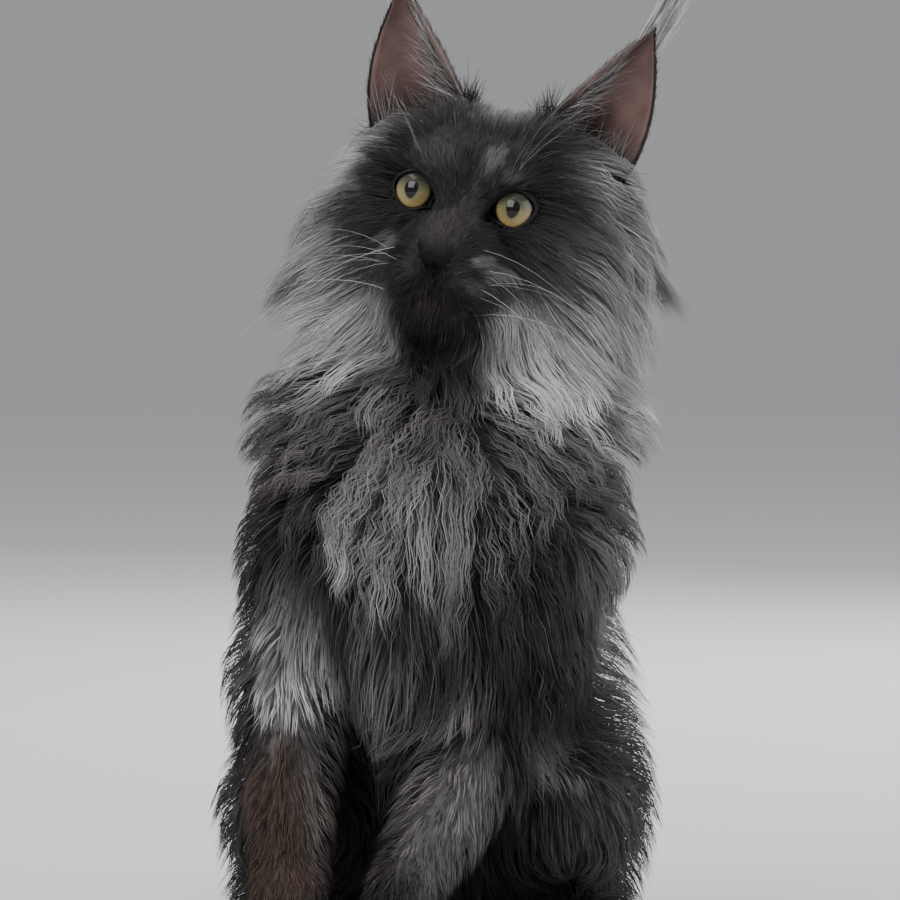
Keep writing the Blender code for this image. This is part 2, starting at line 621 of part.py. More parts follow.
def tube_shape(points, outward, widths, heights, sides):
    """Points and faces of a closed tapering tube, with the top of its section turned outward."""
    points, outward = np.asarray(points, float), np.asarray(outward, float)
    ahead = np.gradient(points, axis=0)
    ahead /= np.linalg.norm(ahead, axis=1, keepdims=True)
    across = np.cross(ahead, outward)
    across /= np.linalg.norm(across, axis=1, keepdims=True)
    top = np.cross(across, ahead)
    rings, faces = [], []
    for i in range(len(points) - 1):
        for k in range(sides):
            turn = 2 * math.pi * (k + 0.75) / sides if sides > 3 else math.pi * (0.5 + k * 2 / 3)
            side = across[i] * math.cos(turn) * widths[i] / 2
            rings.append(points[i] + side + top[i] * math.sin(turn) * heights[i] / 2)
    tip = len(rings)
    rings.append(points[-1])
    for i in range(len(points) - 2):
        for k in range(sides):
            a, b = i * sides + k, i * sides + (k + 1) % sides
            faces += [(a, a + sides, b + sides), (a, b + sides, b)]
    last = (len(points) - 2) * sides
    faces += [(last + k, tip, last + (k + 1) % sides) for k in range(sides)]
    faces += [(0, k, k + 1) for k in range(1, sides - 1)]
    return rings, faces


def tube(name, *shape):
    return solid(name, *tube_shape(*shape))


def lock_shape(path, outward, widths, heights, lowest):
    """A flat three-sided lock with a ridge on its outer side, lifted where it would reach the floor."""
    points, faces = tube_shape(path, outward, widths, heights, 3)
    points = np.array(points)
    for ring in range(0, len(points), 3):
        points[ring : ring + 3, 2] += max(0, lowest - points[ring : ring + 3, 2].min())
    return points, faces


def ball(name, frame, centre, radii, turn=(0, 0, 0), around=BALL_SIDES):
    """An ellipsoid, from rings of the given number of points."""
    place = frame @ Matrix.Translation(centre) @ Euler(turn).to_matrix().to_4x4()
    shape = bmesh.new()
    bmesh.ops.create_uvsphere(shape, u_segments=around, v_segments=around // 2 + 1, radius=1)
    bmesh.ops.scale(shape, vec=Vector(radii), verts=shape.verts[:])
    bmesh.ops.transform(shape, matrix=place, verts=shape.verts[:])
    bmesh.ops.scale(shape, vec=(MM, MM, MM), verts=shape.verts[:])
    mesh = bpy.data.meshes.new(name)
    shape.to_mesh(mesh)
    shape.free()
    return new_object(name, mesh)


def eye_frame(side):
    """Frame of one eye, -Y along its gaze."""
    place = Matrix.Translation((side * EYE_SPACING / 2, EYE_DEPTH, 0))
    return HEAD @ place @ Euler((0, 0, side * EYE_SPLAY)).to_matrix().to_4x4()


def lid_outline(side):
    """Half width and height of the gap between the lids, at points round it. Its inner corner is low and sharp."""
    points = []
    for i in range(LID_POINTS):
        turn = 2 * math.pi * i / LID_POINTS
        across, up = math.cos(turn), math.sin(turn)
        inner = max(0.0, -across) ** 3
        x = LID_HALF_WIDTH * across * (1 + LID_CORNER_REACH * inner)
        z = LID_HALF_HEIGHT * up * (1 - LID_NARROWING * across**2) - LID_INNER_DROP * inner
        z += LID_OUTER_LIFT * max(0.0, across) ** 2
        points.append((side * x, z))
    return points


def lid_opening(side):
    """Cutter that runs from inside the eye's socket out past the lids."""
    frame = eye_frame(side)
    outline = lid_outline(side)
    back, front = LID_CUT_SHARES
    points = [frame @ Vector((x * back, 0, z * back)) for x, z in outline]
    points += [frame @ Vector((x * front, -LID_CUT_LENGTH, z * front)) for x, z in outline]
    count = len(outline)
    faces = [(i, (i + 1) % count, count + (i + 1) % count, count + i) for i in range(count)]
    faces += [tuple(range(count))[::-1], tuple(range(count, 2 * count))]
    made = solid("opening", points, faces)
    return facing_out(made)


def facing_out(made):
    shape = bmesh.new()
    shape.from_mesh(made.data)
    bmesh.ops.recalc_face_normals(shape, faces=shape.faces[:])
    shape.to_mesh(made.data)
    shape.free()
    return made


def on_face(points):
    """Points of the head's frame moved onto the core."""
    placed = np.array([HEAD @ Vector(p) for p in points])
    return settle(core, placed, 4)


def groove(name, points, width):
    """A thin round cutter laid along the surface of the face."""
    path = on_face(points)
    sizes = [width] * (len(path) - 1)
    return tube(name, path, slope(core, path), sizes, sizes, 6)


def mouth_cutters():
    philtrum = [(0, NOSTRIL_AT[1], z) for z in PHILTRUM_HEIGHTS]
    cutters = [groove("philtrum", philtrum, PHILTRUM_WIDTH)]
    for side in (-1, 1):
        lip = [(side * x, y, z) for x, y, z in MOUTH_LINE]
        cutters.append(groove("lip", lip, MOUTH_WIDTH))
        nostril = on_face([Vector(NOSTRIL_AT) * Vector((side, 1, 1))])[0]
        local = HEAD.inverted() @ Vector(nostril)
        cutters.append(ball("nostril", HEAD, local, NOSTRIL_RADII, (0, side * NOSTRIL_TURN, 0), 8))
    return cutters


def ear_frame_point(side, across, up, inset):
    """A point of the ear's cup: across runs -1 to 1 from the inner edge, up runs 0 to 1 to the tip."""
    inner, outer, tip = Vector(EAR_INNER), Vector(EAR_OUTER), Vector(EAR_TIP)
    swell = EAR_SWELL * math.sin(math.pi * min(1.0, up))
    start = inner.lerp(tip, up) - (outer - inner).normalized() * swell * EAR_INNER_SWELL
    end = outer.lerp(tip, up) + (outer - inner).normalized() * swell
    half = (end - start) / 2
    wide = max(half.length - inset * 1.2, 0.3)
    turn = across * EAR_WRAP
    reach = math.sin(turn) / math.sin(EAR_WRAP)
    hollow = (math.cos(turn) - math.cos(EAR_WRAP)) / (1 - math.cos(EAR_WRAP))
    deep = EAR_CUP_DEPTH * (1 - up) ** EAR_CUP_FADE * hollow
    back = Vector(EAR_BACK).normalized()
    point = (start + end) / 2 + half.normalized() * wide * reach
    point += back * (max(deep - inset * hollow, 0) + (EAR_WALL - inset) * 0.5)
    return Vector((point.x * side, point.y, point.z))


def ear_shell(name, side):
    """The whole ear as a bent cup with a wall, its foot sunk in the head."""
    points, faces = [], []
    rows = [EAR_FOOT + (EAR_TIP_SHARE - EAR_FOOT) * i / (EAR_ROWS - 1) for i in range(EAR_ROWS)]
    for up in rows:
        outside = [(k / EAR_COLUMNS * 2 - 1, 0.0) for k in range(EAR_COLUMNS + 1)]
        inside = [(across, EAR_WALL) for across, _ in outside[::-1]]
        points += [HEAD @ ear_frame_point(side, across, up, inset) for across, inset in outside + inside]
    ring = 2 * (EAR_COLUMNS + 1)
    for row in range(EAR_ROWS - 1):
        for k in range(ring):
            a, b = row * ring + k, row * ring + (k + 1) % ring
            faces.append((a, b, b + ring, a + ring))
    faces += strip_cap(0, ring) + strip_cap((EAR_ROWS - 1) * ring, ring)
    return facing_out(solid(name, points, faces))


def strip_cap(start, ring):
    """Quads that close a ring whose second half runs back along the first."""
    half = ring // 2
    return [
        (start + k, start + k + 1, start + ring - 2 - k, start + ring - 1 - k) for k in range(half - 1)
    ]


def ear_tuft(side):
    """The long tuft at the tip of the ear, and the hair that springs from inside the cup."""
    made = []
    for start, end, bow, width in EAR_TUFTS:
        path = []
        for i in range(len(TUFT_TAPER) + 1):
            share = i / len(TUFT_TAPER)
            point = Vector(start).lerp(Vector(end), share) + Vector(bow) * math.sin(share * TUFT_BOW)
            path.append(HEAD @ Vector((point.x * side, point.y, point.z)))
        outward = [HEAD.to_3x3() @ Vector((0, -1, 0.2))] * len(path)
        widths = [width * s for s in TUFT_TAPER]
        heights = [TUFT_THICKNESS * s for s in TUFT_TAPER]
        made.append(tube("tuft", path, outward, widths, heights, 3))
    return made


LIMB_NODES = [n for n in NODE_CELLS if n not in ("torso", "head", "neck") and "tail" not in n]


def surface_samples(made, count, draw):
    """Seeded random points spread evenly over an object's faces."""
    mesh = made.data
    mesh.calc_loop_triangles()
    points = np.empty(len(mesh.vertices) * 3, np.float32)
    mesh.vertices.foreach_get("co", points)
    corners = np.empty(len(mesh.loop_triangles) * 3, np.int32)
    mesh.loop_triangles.foreach_get("vertices", corners)
    a, b, c = (points.reshape(-1, 3) / MM)[corners.reshape(-1, 3)].transpose(1, 0, 2)
    area = np.linalg.norm(np.cross(b - a, c - a), axis=1)
    pick = draw.choice(len(area), count, p=area / area.sum())
    u, v = draw.random((2, count, 1))
    over = u + v > 1
    u, v = np.where(over, 1 - u, u), np.where(over, 1 - v, v)
    return a[pick] + u * (b - a)[pick] + v * (c - a)[pick]


def lock_roots(name, made, draw):
    """Places on one node where its locks grow, further apart where the coat is long."""
    points = surface_samples(made, ROOT_TRIES, draw)
    depth = coat_depth(points)
    fit = (depth > LEAST_LOCK_DEPTH) & (np.abs(core(points)) < 2.0) & (points[:, 2] > LOWEST_ROOT)
    fit &= outside_by(NODE_CELLS[name], points) < -ROOT_MARGIN
    if name == "torso":
        for limb in LIMB_NODES:
            fit &= outside_by(NODE_CELLS[limb], points) > ROOT_MARGIN
    points, depth = points[fit], depth[fit]
    chosen = []
    for i, point in enumerate(points):
        apart = LOCK_CROWDING.get(name, 1.0) * (LOCK_SPACING + LOCK_SPACING_BY_DEPTH * depth[i])
        if not chosen or np.linalg.norm(points[chosen] - point, axis=1).min() > apart:
            chosen.append(i)
    return points[chosen], depth[chosen]


def lock_paths(roots, depth, size, draw):
    """Centre lines of locks that rise from the core to the coat's full depth as they follow its lie."""
    count = len(roots)
    length = size * (LOCK_LENGTH + LOCK_LENGTH_BY_DEPTH * depth) * draw.uniform(*LOCK_LENGTH_RANGE, count)
    rise = size * (depth - core_depth(depth)) * draw.uniform(*LOCK_RISE_RANGE, count)
    phase = draw.uniform(0, 2 * math.pi, count)
    at = roots.copy()
    normal = slope(core, at)
    normal /= np.linalg.norm(normal, axis=1, keepdims=True)
    path, outward = [at - normal * ROOT_SINK], [normal]
    for step, share in enumerate(LOCK_RISE):
        lie = chart_weights(at) @ CHART_LIE
        lie -= normal * (lie * normal).sum(1, keepdims=True)
        lie /= np.linalg.norm(lie, axis=1, keepdims=True)
        swing = LOCK_WAVE * np.sin(phase + step * LOCK_WAVE_STEP)
        lie += np.cross(normal, lie) * swing[:, None]
        at = at + lie * (length / len(LOCK_RISE))[:, None] + normal * (rise * share)[:, None]
        normal = slope(core, at)
        normal /= np.linalg.norm(normal, axis=1, keepdims=True)
        at = at + normal * np.maximum(0, LOCK_CLEARANCE - core(at))[:, None]
        at[:, 2] = np.maximum(at[:, 2], LOWEST_LOCK)
        path.append(at)
        outward.append(normal)
    return np.stack(path, 1), np.stack(outward, 1)


def tree_of(points, faces):
    return BVHTree.FromPolygons([tuple(p) for p in points], faces)


def node_tree(made):
    """Search tree of a node's faces, in millimetres."""
    points = [v.co / MM for v in made.data.vertices]
    return BVHTree.FromPolygons(points, [tuple(p.vertices) for p in made.data.polygons])


def add_locks(name, nodes, trees):
    """Fuses a node's locks with it. A lock that would meet another node is made shorter or left out."""
    draw = np.random.default_rng(SEED + len(name) + ord(name[-1]))
    roots, depth = lock_roots(name, nodes[name], draw)
    if not len(roots):
        return
    state = draw.bit_generator.state
    sizes = []
    for size in LOCK_SIZES:
        draw.bit_generator.state = state
        sizes.append(lock_paths(roots, depth, size, draw))
    others = [tree for other, tree in trees.items() if other != name]
    grown = []
    for i in range(len(roots)):
        width = LOCK_WIDTH * (LOCK_SPACING + LOCK_SPACING_BY_DEPTH * depth[i])
        thick = LOCK_THICKNESS + LOCK_THICKNESS_BY_DEPTH * depth[i]
        lowest = LOWEST_POINT + LOWEST_STEP * i
        for (path, outward), size in zip(sizes, LOCK_SIZES):
            widths = [width * size * s for s in LOCK_TAPER]
            heights = [thick * s for s in LOCK_TAPER]
            wider = [w + 2 * GAP for w in widths], [h + 4 * GAP for h in heights]
            probe = tree_of(*lock_shape(path[i], outward[i], *wider, lowest - GAP))
            if not any(tree.overlap(probe) for tree in others):
                grown.append(solid("lock", *lock_shape(path[i], outward[i], widths, heights, lowest)))
                break
    combine(nodes[name], grown, "UNION")
    keep_largest(nodes[name])
    trees[name] = node_tree(nodes[name])


def build_core(name):
    """The core of one node, parted from its neighbours by thin flat cuts."""
    made = moulded(name, core, *NODE_MOULDS[name])
    if name == "head":
        combine(made, head_additions(), "UNION")
        combine(made, head_cutters(), "DIFFERENCE")
    combine(made, [cell_solid("cell", NODE_CELLS[name])], "INTERSECT")
    if name == "torso":
        limbs = [cell_solid("cell", NODE_CELLS[limb], GAP) for limb in LIMB_NODES]
        combine(made, limbs, "DIFFERENCE")
    return keep_largest(made)


def head_additions():
    lids = []
    for side in (-1, 1):
        radius = EYE_RADIUS + GAP + LID_THICKNESS
        lids.append(ball("lid", eye_frame(side), (0, 0, 0), (radius,) * 3, around=BALL_SIDES))
        lids.append(ear_shell("ear", side))
    return lids


def head_cutters():
    cutters = mouth_cutters()
    for side in (-1, 1):
        cutters.append(ball("socket", eye_frame(side), (0, 0, 0), (EYE_RADIUS + GAP,) * 3, around=BALL_SIDES))
        cutters.append(lid_opening(side))
    return cutters


def build_ear(name, side):
    made = ear_shell(name, side)
    at, normal = ear_plane(side)
    combine(made, ear_tuft(side), "UNION")
    combine(made, [cell_solid("cell", [back_of((at, normal))])], "INTERSECT")
    return keep_largest(made)


def build_eye(name, side):
    return ball(name, eye_frame(side), (0, 0, 0), (EYE_RADIUS,) * 3, around=BALL_SIDES)


def clear_scene():
    for old in list(bpy.data.objects):
        bpy.data.objects.remove(old)


def paint(nodes):
    """A material of its own for every node."""
    for made in nodes.values():
        slot = "eye" if made.name.startswith("eye") else "coat"
        paint = bpy.data.materials.new(f"{made.name}_{slot}")
        paint.use_nodes = True
        shader = paint.node_tree.nodes["Principled BSDF"]
        shader.inputs["Base Color"].default_value = COLOURS[slot]
        shader.inputs["Roughness"].default_value = 0.08 if slot == "eye" else 0.75
        made.data.materials.clear()
        made.data.materials.append(paint)


def stand_on_middle(nodes):
    """Moves every node so that the whole stands on the middle of its footprint."""
    points = [np.array([v.co[:] for v in made.data.vertices]) for made in nodes.values()]
    low = np.min([p.min(0) for p in points], axis=0)
    high = np.max([p.max(0) for p in points], axis=0)
    shift = Vector((-(low[0] + high[0]) / 2, -(low[1] + high[1]) / 2, 0))
    for made in nodes.values():
        made.data.transform(Matrix.Translation(shift))


def main():
    clear_scene()
    nodes = {}
    for name in NODE_CELLS:
        nodes[name] = build_core(name)
    for side, word in ((1, "left"), (-1, "right")):
        nodes["ear_" + word] = build_ear("ear_" + word, side)
        nodes["eye_" + word] = build_eye("eye_" + word, side)
        for face in nodes["eye_" + word].data.polygons:
            face.use_smooth = True
    trees = {name: node_tree(made) for name, made in nodes.items()}
    for name in NODE_CELLS:
        add_locks(name, nodes, trees)
    paint(nodes)
    stand_on_middle(nodes)


main()
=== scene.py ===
"""Looks of the sitting maine coon cat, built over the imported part.

One skin covers the flesh of every node, the eyes stay pieces of their own, and the coat is some ten
thousands of thin solid tufts that grow from the skin, gather into locks and follow the lie of the coat.
Sizes are in millimetres in the part's design frame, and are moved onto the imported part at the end.
"""

import json
import math

import bmesh
import bpy
import numpy as np
from mathutils import Euler, Matrix, Vector
from mathutils.kdtree import KDTree

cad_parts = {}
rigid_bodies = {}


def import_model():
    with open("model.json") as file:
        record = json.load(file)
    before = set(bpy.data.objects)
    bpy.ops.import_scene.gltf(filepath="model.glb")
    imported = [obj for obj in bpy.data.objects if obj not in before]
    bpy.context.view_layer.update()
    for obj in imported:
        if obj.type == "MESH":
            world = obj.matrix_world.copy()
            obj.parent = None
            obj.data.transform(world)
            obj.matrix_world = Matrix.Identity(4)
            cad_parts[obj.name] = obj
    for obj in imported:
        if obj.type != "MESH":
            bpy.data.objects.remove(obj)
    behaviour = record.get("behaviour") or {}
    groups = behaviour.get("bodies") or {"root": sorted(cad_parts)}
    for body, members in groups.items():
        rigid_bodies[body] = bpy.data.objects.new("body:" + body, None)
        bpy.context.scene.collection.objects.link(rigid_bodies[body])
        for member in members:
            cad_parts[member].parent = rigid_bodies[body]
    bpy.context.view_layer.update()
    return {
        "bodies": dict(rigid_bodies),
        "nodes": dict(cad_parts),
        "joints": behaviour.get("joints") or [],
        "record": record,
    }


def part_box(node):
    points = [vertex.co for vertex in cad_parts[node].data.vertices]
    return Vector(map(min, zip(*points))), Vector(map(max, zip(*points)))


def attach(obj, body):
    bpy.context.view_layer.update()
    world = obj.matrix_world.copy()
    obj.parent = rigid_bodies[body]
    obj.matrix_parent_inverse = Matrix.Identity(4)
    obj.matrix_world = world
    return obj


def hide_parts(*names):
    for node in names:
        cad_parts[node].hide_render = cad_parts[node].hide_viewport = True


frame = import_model()

MM = 0.001
SEED = 11

# Driving dimensions of the head, in its own frame: its origin is midway between the eyes.
EYE_MIDPOINT = (5.5, -62.0, 340.0)
HEAD_YAW = math.radians(-13.4)
HEAD_ROLL = math.radians(11.1)
HEAD_PITCH = math.radians(-3.0)
EYE_SPACING = 43.2
EYE_RADIUS = 10.8
EYE_DEPTH = 8.4
EYE_SPLAY = math.radians(3.5)
LID_HALF_WIDTH = 9.2
LID_HALF_HEIGHT = 8.4
LID_NARROWING = 0.22
LID_CORNER_REACH = 0.16
LID_INNER_DROP = 2.6
LID_OUTER_LIFT = 1.2
MOUTH_LINE = [(0, -28, -41), (5, -26, -44), (10, -22, -45), (15, -15, -44.5), (20, -6, -43), (23, 2, -42)]
EAR_INNER = (15.5, 46.0, 40.0)
EAR_OUTER = (56.0, 46.0, 18.0)
EAR_TIP = (57.0, 44.0, 90.0)
EAR_BACK = (-0.30, 0.93, 0.0)
EAR_SWELL = 8.0
EAR_WRAP = 1.25
EAR_CUP_DEPTH = 20.0
EAR_CUP_FADE = 0.8
EAR_INNER_SWELL = 0.15
EAR_WALL = 2.2
EAR_FOOT = -0.28
EAR_TIP_SHARE = 0.97
EAR_CUT = 3.5

# Driving dimensions of the body.
TRUNK_X = -2.0
ELBOW_HEIGHT = 138.0
WRIST_HEIGHT = 46.0
PAW_HEIGHT = 13.0
RIGHT_PAW_X = -71.0
LEFT_PAW_X = -29.0
KNEE_HEIGHT = 75.0
HOCK_Y = 98.0
HIND_TOE_Y = -12.0

# The tail leaves the rump, runs back along the floor and hooks round to the cat's left.
TAIL_ROOT = (-14.0, 150.0)
TAIL_STRAIGHT = 80.0
TAIL_BEND_RADIUS = 52.0
TAIL_BEND = math.radians(200)
TAIL_HEADING = math.radians(35)
TAIL_HEIGHT = 21.0
TAIL_ROOT_RISE = 26.0
TAIL_ROOT_REACH = 60.0
TAIL_RADIUS = (11.0, 6.0)
TAIL_COAT = 34.0
TAIL_STEPS = 13

HEAD_TURN = Euler((HEAD_PITCH, 0, 0)).to_matrix()
HEAD_TURN = Euler((0, 0, HEAD_YAW)).to_matrix() @ Euler((0, HEAD_ROLL, 0)).to_matrix() @ HEAD_TURN
HEAD = Matrix.Translation(EYE_MIDPOINT) @ HEAD_TURN.to_4x4()
WORLD = Matrix.Identity(4)


def tail_place(length):
    """Place and heading of the tail's centre line at this length from its root."""
    ahead = Vector((-math.sin(TAIL_HEADING), math.cos(TAIL_HEADING), 0))
    right = Vector((ahead.y, -ahead.x, 0))
    root = Vector((*TAIL_ROOT, TAIL_HEIGHT))
    rise = TAIL_ROOT_RISE * max(0.0, 1 - length / TAIL_ROOT_REACH) ** 2
    if length <= TAIL_STRAIGHT:
        return root + ahead * length + Vector((0, 0, rise)), ahead
    turn = (length - TAIL_STRAIGHT) / TAIL_BEND_RADIUS
    centre = root + ahead * TAIL_STRAIGHT + right * TAIL_BEND_RADIUS
    swung = Matrix.Rotation(-turn, 3, "Z")
    return centre - swung @ right * TAIL_BEND_RADIUS, swung @ ahead


TAIL_LENGTH = TAIL_STRAIGHT + TAIL_BEND_RADIUS * TAIL_BEND


def both(name, a, b, start, end, melt):
    """A mass of the head and its mirror image."""
    flip = Vector((-1, 1, 1))
    return [
        (name + "_left", HEAD, a, b, start, end, melt),
        (name + "_right", HEAD, Vector(a) * flip, Vector(b) * flip, start, end, melt),
    ]


def tail_masses():
    made = []
    for i in range(TAIL_STEPS):
        share = (i / TAIL_STEPS, (i + 1) / TAIL_STEPS)
        ends = [tail_place(TAIL_LENGTH * s)[0] for s in share]
        radii = [TAIL_RADIUS[0] + (TAIL_RADIUS[1] - TAIL_RADIUS[0]) * s for s in share]
        made.append((f"tail_{i}", WORLD, *ends, *radii, 4))
    return made


# Name, frame, the two centres, the radii there, and the width over which it melts into the others.
MASSES = [
    ("cranium", HEAD, (-9, 38, 9), (9, 38, 9), 29, 29, 10),
    ("nape", HEAD, (0, 50, 0), (0, 62, -8), 28, 26, 14),
    ("brow", HEAD, (-15, 9, 10), (15, 9, 10), 11, 11, 12),
    *both("cheekbone", (25, 14, -10), (29, 30, -14), 13, 15, 10),
    ("nose_bridge", HEAD, (0, 3, 2), (0, -20, -20), 9, 6.5, 7),
    ("nose_tip", HEAD, (-3.8, -24, -25), (3.8, -24, -25), 5.2, 5.2, 4),
    ("muzzle", HEAD, (-8, -8, -25), (8, -8, -25), 11, 11, 8),
    *both("whisker_pad", (8.5, -15, -34), (15, -6, -33), 10.5, 11, 4),
    ("chin", HEAD, (-4, -12.5, -48.5), (4, -12.5, -48.5), 8, 8, 3),
    *both("jaw", (5, -6, -42), (26, 32, -26), 10, 13, 8),
    ("throat", HEAD, (0, 12, -32), (0, 44, -24), 20, 27, 14),
    ("neck", WORLD, (15, -8, 322), (-4, 10, 240), 33, 46, 18),
    ("breast", WORLD, (-8, -10, 222), (-8, 2, 160), 42, 44, 20),
    ("ribs", WORLD, (-6, 16, 212), (-4, 60, 130), 50, 58, 20),
    ("belly", WORLD, (-4, 60, 130), (TRUNK_X, 88, 84), 58, 58, 20),
    ("rump", WORLD, (TRUNK_X, 98, 66), (TRUNK_X, 102, 62), 58, 58, 20),
    ("right_shoulder", WORLD, (-46, 14, 216), (-55, -14, 190), 26, 23, 16),
    ("left_shoulder", WORLD, (32, 14, 216), (41, -12, 190), 26, 23, 16),
    ("right_upper_arm", WORLD, (-55, -14, 190), (-69, -4, ELBOW_HEIGHT), 22, 17, 12),
    ("left_upper_arm", WORLD, (41, -12, 190), (32, -4, ELBOW_HEIGHT), 22, 17, 12),
    ("right_forearm", WORLD, (-69, -8, ELBOW_HEIGHT), (-68, -48, WRIST_HEIGHT), 16.5, 11.5, 10),
    ("left_forearm", WORLD, (32, -8, ELBOW_HEIGHT), (-20, -54, WRIST_HEIGHT), 16.5, 11.5, 10),
    ("right_pastern", WORLD, (-68, -48, WRIST_HEIGHT), (RIGHT_PAW_X, -62, PAW_HEIGHT), 11.5, 12, 8),
    ("left_pastern", WORLD, (-20, -54, WRIST_HEIGHT), (LEFT_PAW_X, -68, PAW_HEIGHT), 11.5, 12, 8),
    ("right_hip", WORLD, (-42, 92, 78), (-62, 28, KNEE_HEIGHT), 41, 29, 20),
    ("left_hip", WORLD, (32, 92, 78), (48, 26, KNEE_HEIGHT), 41, 29, 20),
    ("right_shank", WORLD, (-64, 26, KNEE_HEIGHT - 4), (-76, HOCK_Y, 26), 22, 13, 12),
    ("left_shank", WORLD, (50, 24, KNEE_HEIGHT - 4), (60, HOCK_Y, 26), 22, 13, 12),
    ("right_metatarsus", WORLD, (-76, HOCK_Y, 20), (-79, HIND_TOE_Y, 12), 12.5, 12, 8),
    ("left_metatarsus", WORLD, (60, HOCK_Y, 20), (63, HIND_TOE_Y, 12), 12.5, 12, 8),
    *tail_masses(),
]

TOE_SPREAD = (-13.5, -4.8, 4.8, 13.5)
TOE_REACH = (-2.0, -7.5, -7.5, -2.0)
TOE_ROOT_RADIUS = 8.0
TOE_RADIUS = 6.8
TOE_LENGTH = 10.0
TOE_ROOT_SPREAD = 0.7
TOE_HEIGHTS = (12.0, 7.5)


def toe_masses(name, x, y, splay):
    """Four toes side by side, the middle pair further forward."""
    made = []
    for i, (across, reach) in enumerate(zip(TOE_SPREAD, TOE_REACH)):
        root = (x + across * TOE_ROOT_SPREAD, y + TOE_LENGTH, TOE_HEIGHTS[0])
        tip = (x + across + splay, y + reach, TOE_HEIGHTS[1])
        made.append((f"{name}_toe_{i}", WORLD, root, tip, TOE_ROOT_RADIUS, TOE_RADIUS, 2.5))
    return made


MASSES += toe_masses("right_forepaw", RIGHT_PAW_X, -78, -1)
MASSES += toe_masses("left_forepaw", LEFT_PAW_X, -84, -1)
MASSES += toe_masses("right_hindfoot", -79, HIND_TOE_Y - 14, -1)
MASSES += toe_masses("left_hindfoot", 63, HIND_TOE_Y - 14, 1)


def pair(point, depth, lie):
    """A place of the head's coat chart on both sides."""
    return [
        (HEAD, point, depth, lie),
        (HEAD, (-point[0], *point[1:]), depth, (-lie[0], *lie[1:])),
    ]


def tail_chart():
    made = []
    for i in range(6):
        place, ahead = tail_place(TAIL_LENGTH * (0.12 + 0.88 * i / 5))
        made.append((WORLD, place, TAIL_COAT, ahead))
    return made


# The coat chart: frame, place, depth of the coat there, and the way the hair lies.
COAT = [
    (HEAD, (0, -30, -25), 0.4, (0, 0.3, 1)),
    (HEAD, (0, -14, -4), 1.5, (0, 0.5, 0.85)),
    (HEAD, (0, 8, 24), 3.0, (0, 0.6, 0.8)),
    (HEAD, (0, 38, 38), 6.0, (0, 1, 0.1)),
    *pair((20, -2, 15), 2.5, (0.4, 0.4, 0.8)),
    *pair((20, -2, -14), 2.0, (0.8, 0.5, -0.4)),
    *pair((20, -14, -33), 2.5, (0.8, 0.5, -0.3)),
    (HEAD, (0, -20, -51), 3.0, (0, 0.3, -1)),
    *pair((20, 6, -44), 14, (0.5, 0.2, -0.9)),
    *pair((36, 4, -14), 9, (0.7, 0.6, -0.5)),
    *pair((38, 14, 8), 18, (0.9, 0.3, 0.0)),
    (HEAD, (56, 42, 6), 62, (0.95, 0.1, -0.2)),
    (HEAD, (58, 36, -26), 54, (0.9, 0.1, -0.4)),
    (HEAD, (-52, 40, -8), 50, (-0.9, 0.1, -0.35)),
    *pair((42, 30, -20), 46, (0.85, 0.30, -0.50)),
    *pair((40, 44, 6), 34, (0.9, 0.4, -0.1)),
    *pair((30, 20, -48), 34, (0.45, -0.1, -0.9)),
    *pair((28, 64, 20), 20, (0.5, 0.8, -0.3)),
    (HEAD, (0, 78, 4), 24, (0, 0.6, -0.8)),
    (HEAD, (0, 4, -62), 30, (0, -0.35, -1)),
    (WORLD, (0, -48, 268), 42, (0, -0.35, -1)),
    (WORLD, (-44, -4, 272), 32, (-0.5, -0.15, -0.8)),
    (WORLD, (48, -4, 274), 42, (0.6, -0.15, -0.8)),
    (WORLD, (6, 50, 285), 28, (0, 0.5, -0.9)),
    (WORLD, (-8, -56, 212), 42, (0, -0.25, -1)),
    (WORLD, (-8, -46, 160), 34, (0, -0.1, -1)),
    (WORLD, (-76, -4, 212), 13, (-0.2, -0.1, -0.95)),
    (WORLD, (62, -4, 212), 17, (0.35, -0.1, -0.95)),
    (WORLD, (-92, -12, 165), 12, (-0.2, 0, -1)),
    (WORLD, (66, -14, 165), 13, (0.2, 0, -1)),
    (WORLD, (-70, 20, 136), 16, (-0.1, 0.5, -0.8)),
    (WORLD, (36, 20, 136), 16, (0.1, 0.5, -0.8)),
    (WORLD, (-68, -44, 95), 8, (0, -0.2, -1)),
    (WORLD, (4, -48, 95), 8, (-0.35, -0.2, -1)),
    (WORLD, (-68, -56, 46), 5, (0, -0.3, -1)),
    (WORLD, (-20, -62, 46), 5, (-0.2, -0.3, -1)),
    (WORLD, (RIGHT_PAW_X, -80, 20), 2.2, (0, -1, -0.4)),
    (WORLD, (LEFT_PAW_X, -84, 20), 2.2, (0, -1, -0.4)),
    (WORLD, (-4, 72, 240), 22, (0, 0.5, -0.9)),
    (WORLD, (-2, 124, 170), 26, (0, 0.3, -0.95)),
    (WORLD, (-2, 162, 90), 26, (0, 0.4, -0.9)),
    (WORLD, (-62, 50, 155), 27, (-0.3, 0.25, -0.9)),
    (WORLD, (56, 50, 155), 27, (0.3, 0.25, -0.9)),
    (WORLD, (-6, -6, 105), 32, (0, -0.2, -1)),
    (WORLD, (-86, 80, 86), 22, (-0.2, 0.2, -0.95)),
    (WORLD, (76, 80, 86), 22, (0.2, 0.2, -0.95)),
    (WORLD, (-92, 14, 80), 12, (-0.3, -0.3, -0.9)),
    (WORLD, (78, 12, 80), 12, (0.3, -0.3, -0.9)),
    (WORLD, (-90, HOCK_Y, 25), 11, (-0.3, 0.4, -0.8)),
    (WORLD, (74, HOCK_Y, 25), 11, (0.3, 0.4, -0.8)),
    (WORLD, (-79, -20, 18), 2.2, (0, -1, -0.4)),
    (WORLD, (63, -20, 18), 2.2, (0, -1, -0.4)),
    *tail_chart(),
]

